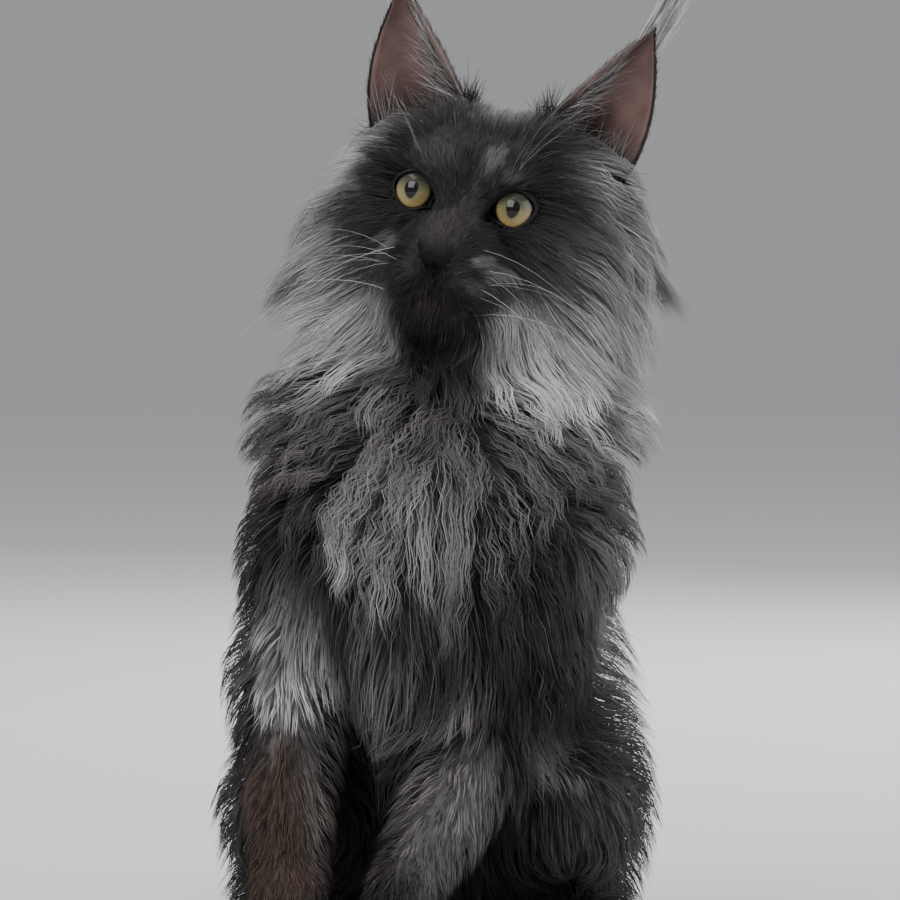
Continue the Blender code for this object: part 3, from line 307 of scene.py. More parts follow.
CHART_AT = np.array([frame @ Vector(at) for frame, at, _, _ in COAT])
CHART_DEPTH = np.array([depth for _, _, depth, _ in COAT])
CHART_LIE = np.array([(frame.to_3x3() @ Vector(lie)).normalized() for frame, _, _, lie in COAT])
CHART_REACH = 12.0
CORE_SHARE = 0.44
SHORT_COAT = 8.0


def flesh(points):
    """Distance from each point to the surface of the flesh, negative inside."""
    found = None
    for _, frame, a, b, start, end, melt in MASSES:
        a, b = np.array(frame @ Vector(a)), np.array(frame @ Vector(b))
        along = b - a
        share = np.clip((points - a) @ along / max(along @ along, 1e-9), 0, 1)[:, None]
        away = np.linalg.norm(points - a - share * along, axis=1)
        away -= start + (end - start) * share[:, 0]
        if found is None:
            found = away
            continue
        mix = np.clip(0.5 + 0.5 * (found - away) / melt, 0, 1)
        found = found * (1 - mix) + away * mix - melt * mix * (1 - mix)
    return found


def chart_weights(points):
    apart = ((points[:, None, :] - CHART_AT[None]) ** 2).sum(2)
    weights = 1 / (apart + CHART_REACH**2) ** 2
    return weights / weights.sum(1, keepdims=True)


def coat_depth(points):
    return chart_weights(points) @ CHART_DEPTH


def slope(field, points, step=0.4):
    """Gradient of a field, by central differences."""
    shifts = np.eye(3) * step
    return np.stack([field(points + s) - field(points - s) for s in shifts], 1) / (2 * step)


def settle(field, points, rounds=3):
    """Points moved onto the surface of a field."""
    for _ in range(rounds):
        gradient = slope(field, points)
        points = points - field(points)[:, None] * gradient / (gradient**2).sum(1, keepdims=True)
    return points


def surface_net(field, low, high, cell):
    """Points and quads of the closed surface where a field is zero inside a box."""
    low, high = np.array(low, float), np.array(high, float)
    count = np.ceil((high - low) / cell).astype(int) + 1
    index = np.stack(np.meshgrid(*[np.arange(n) for n in count], indexing="ij"), -1)
    values = in_chunks(field, low + index.reshape(-1, 3) * cell).reshape(count)
    for axis in range(3):
        edge = [slice(None)] * 3
        for side in (0, -1):
            edge[axis] = side
            values[tuple(edge)] = np.maximum(values[tuple(edge)], cell * 0.5)
    total, hits = np.zeros((*(count - 1), 3)), np.zeros(count - 1)
    crossings = []
    for axis in range(3):
        first = [slice(None)] * 3
        second = [slice(None)] * 3
        first[axis], second[axis] = slice(None, -1), slice(1, None)
        here, there = values[tuple(first)], values[tuple(second)]
        at = np.argwhere((here < 0) != (there < 0))
        a, b = here[tuple(at.T)], there[tuple(at.T)]
        place = at.astype(float)
        place[:, axis] += a / (a - b)
        crossings.append((axis, at, a < 0))
        others = [k for k in range(3) if k != axis]
        for u in (0, 1):
            for v in (0, 1):
                box = at.copy()
                box[:, others[0]] -= u
                box[:, others[1]] -= v
                np.add.at(total, tuple(box.T), place)
                np.add.at(hits, tuple(box.T), 1)
    used = np.argwhere(hits > 0)
    number = np.full(hits.shape, -1)
    number[tuple(used.T)] = np.arange(len(used))
    points = low + total[tuple(used.T)] / hits[tuple(used.T)][:, None] * cell
    quads = []
    for axis, at, outward in crossings:
        u, v = (axis + 1) % 3, (axis + 2) % 3
        corners = []
        for du, dv in ((0, 0), (1, 0), (1, 1), (0, 1)):
            box = at.copy()
            box[:, u] -= du
            box[:, v] -= dv
            corners.append(number[tuple(box.T)])
        loop = np.stack(corners, 1)
        loop[~outward] = loop[~outward][:, ::-1]
        quads.append(loop)
    return points, np.concatenate(quads)


def eye_frame(side):
    """Frame of one eye, -Y along its gaze."""
    place = Matrix.Translation((side * EYE_SPACING / 2, EYE_DEPTH, 0))
    return HEAD @ place @ Euler((0, 0, side * EYE_SPLAY)).to_matrix().to_4x4()


def lid_outline(side):
    """Half width and height of the gap between the lids, at points round it. Its inner corner is low and sharp."""
    points = []
    for i in range(LID_POINTS):
        turn = 2 * math.pi * i / LID_POINTS
        across, up = math.cos(turn), math.sin(turn)
        inner = max(0.0, -across) ** 3
        x = LID_HALF_WIDTH * across * (1 + LID_CORNER_REACH * inner)
        z = LID_HALF_HEIGHT * up * (1 - LID_NARROWING * across**2) - LID_INNER_DROP * inner
        z += LID_OUTER_LIFT * max(0.0, across) ** 2
        points.append((side * x, z))
    return points


def ear_plane(side):
    """The plane that parts an ear from the head."""
    inner, outer = Vector(EAR_INNER), Vector(EAR_OUTER)
    normal = Vector((-(outer - inner).z, 0, (outer - inner).x)).normalized()
    at = (inner + outer) / 2 + normal * EAR_CUT
    flip = Vector((side, 1, 1))
    return HEAD @ (at * flip), HEAD.to_3x3() @ (normal * flip)


def ear_frame_point(side, across, up, inset):
    """A point of the ear's cup: across runs -1 to 1 from the inner edge, up runs 0 to 1 to the tip."""
    inner, outer, tip = Vector(EAR_INNER), Vector(EAR_OUTER), Vector(EAR_TIP)
    swell = EAR_SWELL * math.sin(math.pi * min(1.0, up))
    start = inner.lerp(tip, up) - (outer - inner).normalized() * swell * EAR_INNER_SWELL
    end = outer.lerp(tip, up) + (outer - inner).normalized() * swell
    half = (end - start) / 2
    wide = max(half.length - inset * 1.2, 0.3)
    turn = across * EAR_WRAP
    reach = math.sin(turn) / math.sin(EAR_WRAP)
    hollow = (math.cos(turn) - math.cos(EAR_WRAP)) / (1 - math.cos(EAR_WRAP))
    deep = EAR_CUP_DEPTH * (1 - up) ** EAR_CUP_FADE * hollow
    back = Vector(EAR_BACK).normalized()
    point = (start + end) / 2 + half.normalized() * wide * reach
    point += back * (max(deep - inset * hollow, 0) + (EAR_WALL - inset) * 0.5)
    return Vector((point.x * side, point.y, point.z))


# The frame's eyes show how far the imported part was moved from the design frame.
low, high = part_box("eye_left")
SHIFT = (Vector(low) + Vector(high)) / 2 / MM - HEAD @ Vector((EYE_SPACING / 2, EYE_DEPTH, 0))
HEAD_INVERSE = np.array(HEAD.inverted())

# Sizes of the skin and of its details.
SKIN_CELL = 3.6
SKIN_LOW = (-125, -105, -12)
SKIN_HIGH = (125, 345, 395)
SKIN_LIFT = 1.4
SKIN_LIFT_DEPTH = 3.0
LID_SHELL = 1.6
LID_GAP = 0.3
MOUTH_GROOVE = 0.9
NOSTRILS = [((4.8, -32.0, -26.6), (1.9, 2.8, 1.4)), ((7.2, -30.0, -27.6), (2.4, 2.6, 0.7))]
NOSE_HALF_WIDTH = 8.4
NOSE_WIDE_TO = -23.5
NOSE_TOP = -21.5
NOSE_LOW = -34.0
LIP_BARE = 1.6
LIP_CLEAR = 0.75
EAR_FINE_ROWS = 26
EAR_FINE_COLUMNS = 18

# Sizes of the coat.
GUIDE_SPACING = 2.6
GUIDE_SPACING_BY_DEPTH = 0.20
GUIDE_STEPS = 16
CHUNK = 40000


def in_chunks(field, points):
    return np.concatenate([field(points[i : i + CHUNK]) for i in range(0, len(points), CHUNK)])


def head_local(points):
    return points @ HEAD_INVERSE[:3, :3].T + HEAD_INVERSE[:3, 3]


def melt(a, b, width):
    """The smooth lower of two distances."""
    mix = np.clip(0.5 + 0.5 * (a - b) / width, 0, 1)
    return a * (1 - mix) + b * mix - width * mix * (1 - mix)


def skin(points):
    """Distance to the skin: the flesh, and a little of the shortest fur."""
    return flesh(points) - SKIN_LIFT * (1 - np.exp(-coat_depth(points) / SKIN_LIFT_DEPTH))


def lid_reach(points, side):
    """Place in the frame of one eye, and how far outside the gap between its lids, as a share of its size."""
    matrix = np.array(eye_frame(side).inverted())
    local = points @ matrix[:3, :3].T + matrix[:3, 3]
    across = side * local[:, 0] / LID_HALF_WIDTH
    inner = np.maximum(0, -across) ** 3
    up = local[:, 2] + LID_INNER_DROP * inner - 1.2 * np.maximum(0, across) ** 2
    up /= LID_HALF_HEIGHT * (1 - 0.22 * np.minimum(across**2, 1.2))
    return local, np.hypot(across / (1 + 0.16 * np.minimum(inner, 1)), up)


def to_line(points, line):
    """Distance from each point to a line of straight pieces."""
    best = np.full(len(points), 1e9)
    for a, b in zip(line[:-1], line[1:]):
        a, b = np.array(a, float), np.array(b, float)
        share = np.clip((points - a) @ (b - a) / ((b - a) @ (b - a)), 0, 1)[:, None]
        best = np.minimum(best, np.linalg.norm(points - a - share * (b - a), axis=1))
    return best


def face(points):
    """Distance to the skin with the lids, the mouth and the nostrils."""
    found = skin(points)
    local = head_local(points)
    for side in (-1, 1):
        eye, reach = lid_reach(points, side)
        ball = np.linalg.norm(eye, axis=1) - EYE_RADIUS
        found = melt(found, ball - LID_SHELL, 2.2)
        opening = np.maximum((reach - 1) * LID_HALF_HEIGHT, eye[:, 1])
        found = np.maximum(found, -opening)
        found = np.maximum(found, -(ball - LID_GAP))
        flip = local * np.array([side, 1, 1])
        found = np.maximum(found, MOUTH_GROOVE - to_line(flip, LIP_LINE))
        for centre, radii in NOSTRILS:
            hole = np.linalg.norm((flip - np.array(centre)) / np.array(radii), axis=1) - 1
            found = np.maximum(found, -hole * min(radii))
    return np.maximum(found, MOUTH_GROOVE * 0.8 - to_line(local, PHILTRUM))


def placed(points):
    """Points of the design frame, in metres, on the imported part."""
    return (np.asarray(points) + np.array(SHIFT)) * MM


def new_object(name, mesh):
    made = bpy.data.objects.new(name, mesh)
    bpy.context.scene.collection.objects.link(made)
    return made


def mesh_object(name, points, faces):
    mesh = bpy.data.meshes.new(name)
    mesh.from_pydata(np.asarray(points, float).tolist(), [], [tuple(map(int, f)) for f in faces])
    mesh.update()
    return new_object(name, mesh)


def lip_lines():
    """The middle of the upper lip and the groove under the nose, on the surface of the face."""
    def laid(points):
        world = np.array([HEAD @ Vector(p) for p in points])
        return head_local(settle(skin, world, 5))

    philtrum = laid([(0, -31, z) for z in (-29, -33, -37, -41)])
    return laid(MOUTH_LINE), philtrum


LIP_LINE, PHILTRUM = lip_lines()


def ear_shell_points(side, rows, columns):
    """Rings of the ear's cup from its foot to its tip, the outside first and the inside back."""
    rings = []
    for up in np.linspace(EAR_FOOT, EAR_TIP_SHARE + 0.015, rows):
        outside = [(a, 0.0) for a in np.linspace(-1, 1, columns + 1)]
        inside = [(a, EAR_WALL) for a, _ in outside[::-1]]
        rings.append([HEAD @ ear_frame_point(side, a, up, inset) for a, inset in outside + inside])
    return rings


def ear_shell(side):
    rings = ear_shell_points(side, EAR_FINE_ROWS, EAR_FINE_COLUMNS)
    ring = len(rings[0])
    points = [p for row in rings for p in row]
    faces = []
    for row in range(len(rings) - 1):
        for k in range(ring):
            a, b = row * ring + k, row * ring + (k + 1) % ring
            faces.append((a, b, b + ring, a + ring))
    for start in (0, (len(rings) - 1) * ring):
        for k in range(ring // 2 - 1):
            faces.append((start + k, start + k + 1, start + ring - 2 - k, start + ring - 1 - k))
    made = mesh_object("ear", points, faces)
    shape = bmesh.new()
    shape.from_mesh(made.data)
    bmesh.ops.recalc_face_normals(shape, faces=shape.faces[:])
    shape.to_mesh(made.data)
    shape.free()
    return made


def near_face(local):
    """How close a point of the head is to the parts of the face that need fine skin: 0 far, 1 on the face, 2 near."""
    on = (local[:, 1] < 30) & (np.abs(local[:, 0]) < 42) & (local[:, 2] < 38) & (local[:, 2] > -58)
    fine = np.zeros(len(local), bool)
    for side in (-1, 1):
        eye = np.array([side * EYE_SPACING / 2, 0, 0])
        fine |= np.linalg.norm((local - eye) * [1, 0.6, 1], axis=1) < 15
        fine |= to_line(local * [side, 1, 1], LIP_LINE) < 5
    fine |= np.linalg.norm(local - [0, -26, -29], axis=1) < 16
    return on.astype(int) + (on & fine)


def build_skin():
    """One closed skin with the ears joined on, finer at the face."""
    points, quads = surface_net(skin, SKIN_LOW, SKIN_HIGH, SKIN_CELL)
    points = np.concatenate([settle(skin, points[i : i + CHUNK], 2) for i in range(0, len(points), CHUNK)])
    made = mesh_object("skin", points, quads)
    shape = bmesh.new()
    shape.from_mesh(made.data)
    for level in (1, 1, 2):
        local = head_local(np.array([f.calc_center_median()[:] for f in shape.faces]))
        grade = near_face(local)
        chosen = [f for f, g in zip(shape.faces, grade) if g >= level]
        edges = list({e for f in chosen for e in f.edges})
        bmesh.ops.subdivide_edges(shape, edges=edges, cuts=1, use_grid_fill=True)
    points = np.array([v.co[:] for v in shape.verts])
    fine = near_face(head_local(points)) > 0
    points[fine] = settle(face, points[fine], 6)
    points[:, 2] = np.maximum(points[:, 2], 0.4)
    for vert, point in zip(shape.verts, points):
        vert.co = point
    bmesh.ops.triangulate(shape, faces=shape.faces[:])
    shape.to_mesh(made.data)
    shape.free()
    for side in (-1, 1):
        ear = ear_shell(side)
        step = made.modifiers.new("ear", "BOOLEAN")
        step.operation = "UNION"
        step.solver = "MANIFOLD"
        step.object = ear
        graph = bpy.context.evaluated_depsgraph_get()
        mesh = bpy.data.meshes.new_from_object(made.evaluated_get(graph))
        made.modifiers.clear()
        made.data = mesh
        bpy.data.objects.remove(ear)
    return made


def unwrap(made):
    """An unwrap of the skin's own shape, named OFBake."""
    made.data.uv_layers.new(name="OFBake")
    bpy.context.view_layer.objects.active = made
    made.select_set(True)
    bpy.ops.object.mode_set(mode="EDIT")
    bpy.ops.mesh.select_all(action="SELECT")
    bpy.ops.uv.smart_project(angle_limit=math.radians(66), island_margin=0.002)
    bpy.ops.object.mode_set(mode="OBJECT")
    made.select_set(False)


# Colours of the coat, darkest to palest, in linear light.
BLACK = (0.009, 0.0083, 0.0086)
CHARCOAL = (0.0138, 0.0127, 0.0135)
DUSK = (0.029, 0.0260, 0.0250)
SMOKE = (0.060, 0.0550, 0.0540)
BROWN = (0.042, 0.034, 0.031)
RUST = (0.080, 0.050, 0.038)
GREY = (0.160, 0.151, 0.151)
SILVER = (0.40, 0.39, 0.395)
PALE = (0.62, 0.61, 0.62)

# Markings: frame, centre, radii, colour, strength. Later ones lie over earlier ones.
MARKINGS = [
    (WORLD, (70, 20, 190), (45, 90, 60), SMOKE, 0.85),
    (WORLD, (-6, 110, 150), (120, 70, 120), SMOKE, 0.5),
    (HEAD, (-52, 40, -20), (34, 46, 54), GREY, 0.95),
    (HEAD, (58, 40, -16), (38, 46, 58), GREY, 0.95),
    (HEAD, (-66, 40, -22), (20, 34, 44), SILVER, 0.8),
    (HEAD, (-58, 44, 22), (16, 30, 22), SILVER, 0.6),
    (HEAD, (72, 40, 4), (27, 38, 54), SILVER, 0.9),
    (WORLD, (0, -30, 240), (92, 64, 26), GREY, 0.62),
    (WORLD, (-46, -34, 284), (27, 46, 28), SILVER, 1.0),
    (WORLD, (54, -34, 268), (42, 60, 22), PALE, 0.95),
    (WORLD, (30, -50, 276), (16, 40, 24), PALE, 0.9),
    (WORLD, (0, -60, 264), (15, 50, 22), SMOKE, 0.8),
    (WORLD, (-18, -50, 204), (34, 46, 28), SILVER, 0.72),
    (WORLD, (12, -50, 220), (28, 46, 18), GREY, 0.95),
    (HEAD, (2, -4, -24), (46, 52, 34), CHARCOAL, 0.9),
    (HEAD, (-42, 18, -20), (27, 38, 34), DUSK, 0.95),
    (HEAD, (50, 14, -14), (20, 30, 34), SMOKE, 0.75),
    (HEAD, (0, 4, 12), (54, 46, 36), CHARCOAL, 1.0),
    (HEAD, (0, -14, -33), (20, 34, 22), CHARCOAL, 0.9),
    (HEAD, (0, -12, -54), (24, 34, 14), BLACK, 0.9),
    (HEAD, (0, -18, -49), (10, 18, 6), BROWN, 0.55),
    (HEAD, (-30, -4, -24), (8, 18, 4), GREY, 0.75),
    (HEAD, (-28, -4, -32), (9, 18, 4), SMOKE, 0.8),
    (HEAD, (20, -12, -24.5), (5, 14, 3), SILVER, 0.32),
    (HEAD, (25, -8, -30), (6, 14, 4.5), SILVER, 0.36),
    (HEAD, (20, -10, -36), (9, 18, 4), SMOKE, 0.85),
    (HEAD, (6, -8, -6), (5, 16, 14), SMOKE, 0.5),
    (HEAD, (0, -20, -13), (10, 16, 9), DUSK, 0.9),
    (HEAD, (11, -22, -32), (6, 10, 6), DUSK, 0.8),
    (HEAD, (-11, -22, -32), (6, 10, 6), DUSK, 0.8),
    (HEAD, (10, 6, 20), (5, 18, 7), GREY, 0.4),
    (HEAD, (20, 8, 15), (6, 18, 4), GREY, 0.35),
    (HEAD, (-16, 8, 19), (13, 16, 7), SMOKE, 0.55),
    (HEAD, (4, 36, 42), (11, 18, 6), GREY, 0.6),
    (WORLD, (-68, -30, 138), (18, 40, 36), SILVER, 0.70),
    (WORLD, (-70, -50, 66), (26, 40, 38), RUST, 0.7),
    (WORLD, (-54, -60, 90), (10, 30, 36), GREY, 0.6),
    (WORLD, (2, -54, 82), (26, 34, 40), GREY, 0.85),
    (WORLD, (-30, -46, 112), (17, 40, 48), GREY, 0.55),
    (WORLD, (64, -6, 188), (22, 50, 28), GREY, 0.35),
    (WORLD, (72, 30, 160), (18, 50, 34), GREY, 0.8),
    (WORLD, (50, 10, 128), (18, 50, 22), BLACK, 0.6),
    (WORLD, (46, 0, 94), (12, 40, 12), GREY, 0.7),
    (WORLD, (70, 16, 62), (22, 50, 28), SMOKE, 0.9),
    (WORLD, (-88, 60, 90), (26, 60, 40), SMOKE, 0.6),
    (WORLD, (0, 130, 160), (22, 60, 90), CHARCOAL, 0.6),
    (WORLD, (40, 300, 30), (60, 60, 40), SMOKE, 0.6),
]
MARKING_EDGE = 0.10
STRAY_SHARE = 0.03
LOCK_CONTRAST = 0.22
SOFTNESS = 0.5
MARKING_RIPPLE = 0.16


def markings(points):
    """Colour of the coat at each point of the design frame."""
    shade = np.tile(np.array(DUSK), (len(points), 1))
    for frame_, centre, radii, colour, strength in MARKINGS:
        inverse = np.array(frame_.inverted())
        local = points @ inverse[:3, :3].T + inverse[:3, 3]
        at = (local - np.array(centre)) / np.array(radii)
        ripple = sum(np.sin(5.1 * at[:, k] + 2 * k + 2.3 * np.sin(3.7 * at[:, k - 1] + k)) for k in range(3))
        away = np.linalg.norm(at, axis=1) + MARKING_RIPPLE * ripple / 2
        mix = strength / (1 + np.exp(np.clip((away - 1) / MARKING_EDGE, -30, 30)))
        shade = shade * (1 - mix[:, None]) + np.array(colour) * mix[:, None]
    return shade


def set_colours(mesh, colours):
    layer = mesh.color_attributes.new("shade", "FLOAT_COLOR", "POINT")
    flat = np.ones((len(colours), 4), np.float32)
    flat[:, :3] = colours
    layer.data.foreach_set("color", flat.ravel())


def node(tree, kind, **inputs):
    made = tree.nodes.new(kind)
    for name, value in inputs.items():
        made.inputs[name].default_value = value
    return made


def fur_material(name, roughness, specular, bump, scale):
    """Hair coloured by the shade written on the mesh, with a fine bump along it."""
    made = bpy.data.materials.new(name)
    made.use_nodes = True
    tree = made.node_tree
    shader = tree.nodes["Principled BSDF"]
    shader.inputs["Roughness"].default_value = roughness
    shader.inputs["Specular IOR Level"].default_value = specular
    colour = tree.nodes.new("ShaderNodeVertexColor")
    colour.layer_name = "shade"
    tree.links.new(colour.outputs["Color"], shader.inputs["Base Color"])
    if bump:
        grain = node(tree, "ShaderNodeTexNoise", Scale=scale, Detail=4.0)
        place = tree.nodes.new("ShaderNodeTexCoord")
        tree.links.new(place.outputs["Object"], grain.inputs["Vector"])
        raised = node(tree, "ShaderNodeBump", Strength=bump, Distance=0.0006)
        tree.links.new(grain.outputs["Fac"], raised.inputs["Height"])
        tree.links.new(raised.outputs["Normal"], shader.inputs["Normal"])
    return made


# The collar's wavy hair, the mane that stands out behind the cheeks, and the tail's plume.
COLLAR_AT = (0, -40, 235)
COLLAR_RADII = (85, 60, 48)
MANE_AT = (38, 42, -2)
MANE_RADII = (32, 34, 44)
MANE_LIFT = 0.24
MANE_STRETCH = 0.10
TAIL_FROM = 178.0
TAIL_STRETCH = 1.15
TAIL_CLIMB = 0.55


def tangent(lie, normal):
    lie = lie - normal * (lie * normal).sum(1, keepdims=True)
    return lie / np.maximum(np.linalg.norm(lie, axis=1, keepdims=True), 1e-9)


def unit(v):
    return v / np.maximum(np.linalg.norm(v, axis=-1, keepdims=True), 1e-9)


def strand_length(depth):
    """Length of the hair where the coat has this depth."""
    short = 1.4 + 1.25 * np.minimum(depth, 6)
    return short + 1.15 * np.maximum(depth - 6, 0) + 11 * (1 - np.exp(-((depth / 14) ** 2)))


def guide_paths(roots, normals, draw):
    """Paths that rise from the flesh to the coat's depth and follow its lie."""
    depth = in_chunks(coat_depth, roots)
    puffed = in_mane(roots)
    tail = on_tail(roots)
    length = strand_length(depth) * (1 + MANE_STRETCH * puffed) * np.where(tail, TAIL_STRETCH, 1)
    reach = depth * draw.uniform(0.8, 1.12, len(roots)) * (1 + MANE_LIFT * puffed)
    steepest = np.where(tail, TAIL_CLIMB, 0.86)
    twist = draw.normal(0, 0.13, len(roots))
    at, normal = roots.copy(), normals.copy()
    path, outward = [at.copy()], [normal.copy()]
    stride = length / GUIDE_STEPS
    height = np.zeros(len(roots))
    for step in range(1, GUIDE_STEPS + 1):
        share = step / GUIDE_STEPS
        lie = tangent(in_chunks(chart_weights, at) @ CHART_LIE, normal)
        lie = unit(lie + np.cross(normal, lie) * twist[:, None])
        wanted = reach * (1 - (1 - share) ** 1.7)
        climb = np.clip((wanted - height) / stride, -0.3, steepest)
        at = at + (lie * np.sqrt(1 - climb**2)[:, None] + normal * climb[:, None]) * stride[:, None]
        normal = unit(slope_in_chunks(flesh, at))
        height = in_chunks(flesh, at)
        low = 0.25 * np.minimum(depth, 5) * share
        at += normal * np.maximum(0, low - height)[:, None]
        height = np.maximum(height, low)
        at[:, 2] = np.maximum(at[:, 2], 1.2)
        path.append(at.copy())
        outward.append(normal.copy())
    return np.stack(path, 1), np.stack(outward, 1), depth, length


def slope_in_chunks(field, points):
    return np.concatenate([slope(field, points[i : i + CHUNK]) for i in range(0, len(points), CHUNK)])


def spaced(points, apart, cell):
    """Indices of points that keep their distance from those chosen before, by a grid."""
    grid, chosen = {}, []
    keys = np.floor(points / cell).astype(int)
    for i, key in enumerate(map(tuple, keys)):
        near = [j for dx in (-1, 0, 1) for dy in (-1, 0, 1) for dz in (-1, 0, 1)
                for j in grid.get((key[0] + dx, key[1] + dy, key[2] + dz), ())]
        if near and (((points[near] - points[i]) ** 2).sum(1) < apart[i] ** 2).any():
            continue
        grid.setdefault(key, []).append(i)
        chosen.append(i)
    return np.array(chosen)


def mesh_arrays(mesh):
    """Corners, unwrap and normals of a triangle mesh as arrays."""
    mesh.calc_loop_triangles()
    count = len(mesh.loop_triangles)
    points = np.empty(len(mesh.vertices) * 3, np.float32)
    mesh.vertices.foreach_get("co", points)
    corners = np.empty(count * 3, np.int32)
    mesh.loop_triangles.foreach_get("vertices", corners)
    loops = np.empty(count * 3, np.int32)
    mesh.loop_triangles.foreach_get("loops", loops)
    uv = np.empty(len(mesh.loops) * 2, np.float32)
    mesh.uv_layers["OFBake"].data.foreach_get("uv", uv)
    corner_points = points.reshape(-1, 3)[corners].reshape(-1, 3, 3).astype(float)
    return corner_points, uv.reshape(-1, 2)[loops].reshape(-1, 3, 2)


def sampled(corners, uv, weight, count, draw):
    """Seeded places on the triangles, more of them where the weight is high."""
    area = np.linalg.norm(np.cross(corners[:, 1] - corners[:, 0], corners[:, 2] - corners[:, 0]), axis=1) / 2
    chance = area * weight
    pick = draw.choice(len(area), count, p=chance / chance.sum())
    a, b = draw.random((2, count, 1))
    over = a + b > 1
    a, b = np.where(over, 1 - a, a), np.where(over, 1 - b, b)
    parts = (1 - a - b, a, b)
    place = sum(p * corners[pick, k] for k, p in enumerate(parts))
    return place, sum(p * uv[pick, k] for k, p in enumerate(parts))


def tuft_mesh(name, paths, outward, widths, colours, uv):
    """One mesh of closed three-sided tapering tufts, from an array of paths."""
    count, rings = paths.shape[:2]
    ahead = unit(np.gradient(paths, axis=1))
    across = unit(np.cross(ahead, outward))
    top = np.cross(across, ahead)
    per = 3 * (rings - 1) + 1
    points = np.empty((count, per, 3), np.float32)
    tint = np.empty((count, per, 3), np.float32)
    flat = np.empty((count, per, 2), np.float32)
    for k in range(3):
        turn = math.pi * (0.5 + k * 2 / 3)
        shift = across * math.cos(turn) + top * math.sin(turn) * 0.6
        points[:, k : per - 1 : 3] = paths[:, :-1] + shift[:, :-1] * widths[:, :-1, None] * 0.5
        tint[:, k : per - 1 : 3] = colours[:, :-1]
        flat[:, k : per - 1 : 3, 0] = uv[:, None, 0] + (k / 2 - 0.5) * 0.003
        flat[:, k : per - 1 : 3, 1] = uv[:, None, 1] + (np.linspace(0, 1, rings)[:-1] - 0.5) * 0.003
    points[:, -1], tint[:, -1] = paths[:, -1], colours[:, -1]
    flat[:, -1] = uv + [0, 0.0015]
    faces = [(0, 1, 2)]
    for ring in range(rings - 2):
        for k in range(3):
            a, b = 3 * ring + k, 3 * ring + (k + 1) % 3
            faces += [(a, a + 3, b + 3), (a, b + 3, b)]
    last = 3 * (rings - 2)
    faces += [(last + k, per - 1, last + (k + 1) % 3) for k in range(3)]
    faces = np.array(faces, np.int32)
    all_faces = (faces[None] + (np.arange(count) * per)[:, None, None]).reshape(-1, 3)
    mesh = bpy.data.meshes.new(name)
    mesh.vertices.add(count * per)
    mesh.vertices.foreach_set("co", placed(points.reshape(-1, 3)).astype(np.float32).ravel())
    mesh.loops.add(all_faces.size)
    mesh.loops.foreach_set("vertex_index", all_faces.ravel())
    mesh.polygons.add(len(all_faces))
    mesh.polygons.foreach_set("loop_start", np.arange(0, all_faces.size, 3, dtype=np.int32))
    mesh.update(calc_edges=True)
    mesh.polygons.foreach_set("use_smooth", np.ones(len(all_faces), bool))
    layer = mesh.uv_layers.new(name="OFBake")
    layer.data.foreach_set("uv", flat.reshape(-1, 2)[all_faces.ravel()].ravel())
    set_colours(mesh, tint.reshape(-1, 3))
    soften(mesh, np.concatenate([np.repeat(outward[:, :-1], 3, axis=1), outward[:, -1:]], axis=1))
    return new_object(name, mesh)


def soften(mesh, outward):
    """Turns the normals of tufts towards those of the skin under them, so that the coat shades softly."""
    own = np.empty(len(mesh.vertices) * 3, np.float32)
    mesh.vertices.foreach_get("normal", own)
    mixed = unit(own.reshape(-1, 3) * (1 - SOFTNESS) + outward.reshape(-1, 3) * SOFTNESS)
    mesh.normals_split_custom_set_from_vertices(mixed.astype(np.float32))


def bent(paths, places):
    """Paths read at the same places, given as counts of steps from the root."""
    low = np.minimum(places.astype(int), paths.shape[1] - 2)
    part = (places - low)[None, :, None]
    return paths[:, low] * (1 - part) + paths[:, low + 1] * part


def in_mane(points):
    """1 in the middle of the hair behind each cheek, 0 far from there."""
    local = head_local(points)
    away = np.linalg.norm((np.abs(local) * [1, 0, 0] + local * [0, 1, 1] - MANE_AT) / MANE_RADII, axis=1)
    return np.clip(1.6 - 1.2 * away, 0, 1)


def on_tail(points):
    return (points[:, 1] > TAIL_FROM) & (points[:, 2] < 80)


def in_collar(points):
    """1 where the throat's and the chest's hair is wavy, 0 far from there."""
    away = np.linalg.norm((points - np.array(COLLAR_AT)) / np.array(COLLAR_RADII), axis=1)
    return np.clip(2.0 - 1.4 * away, 0, 1)


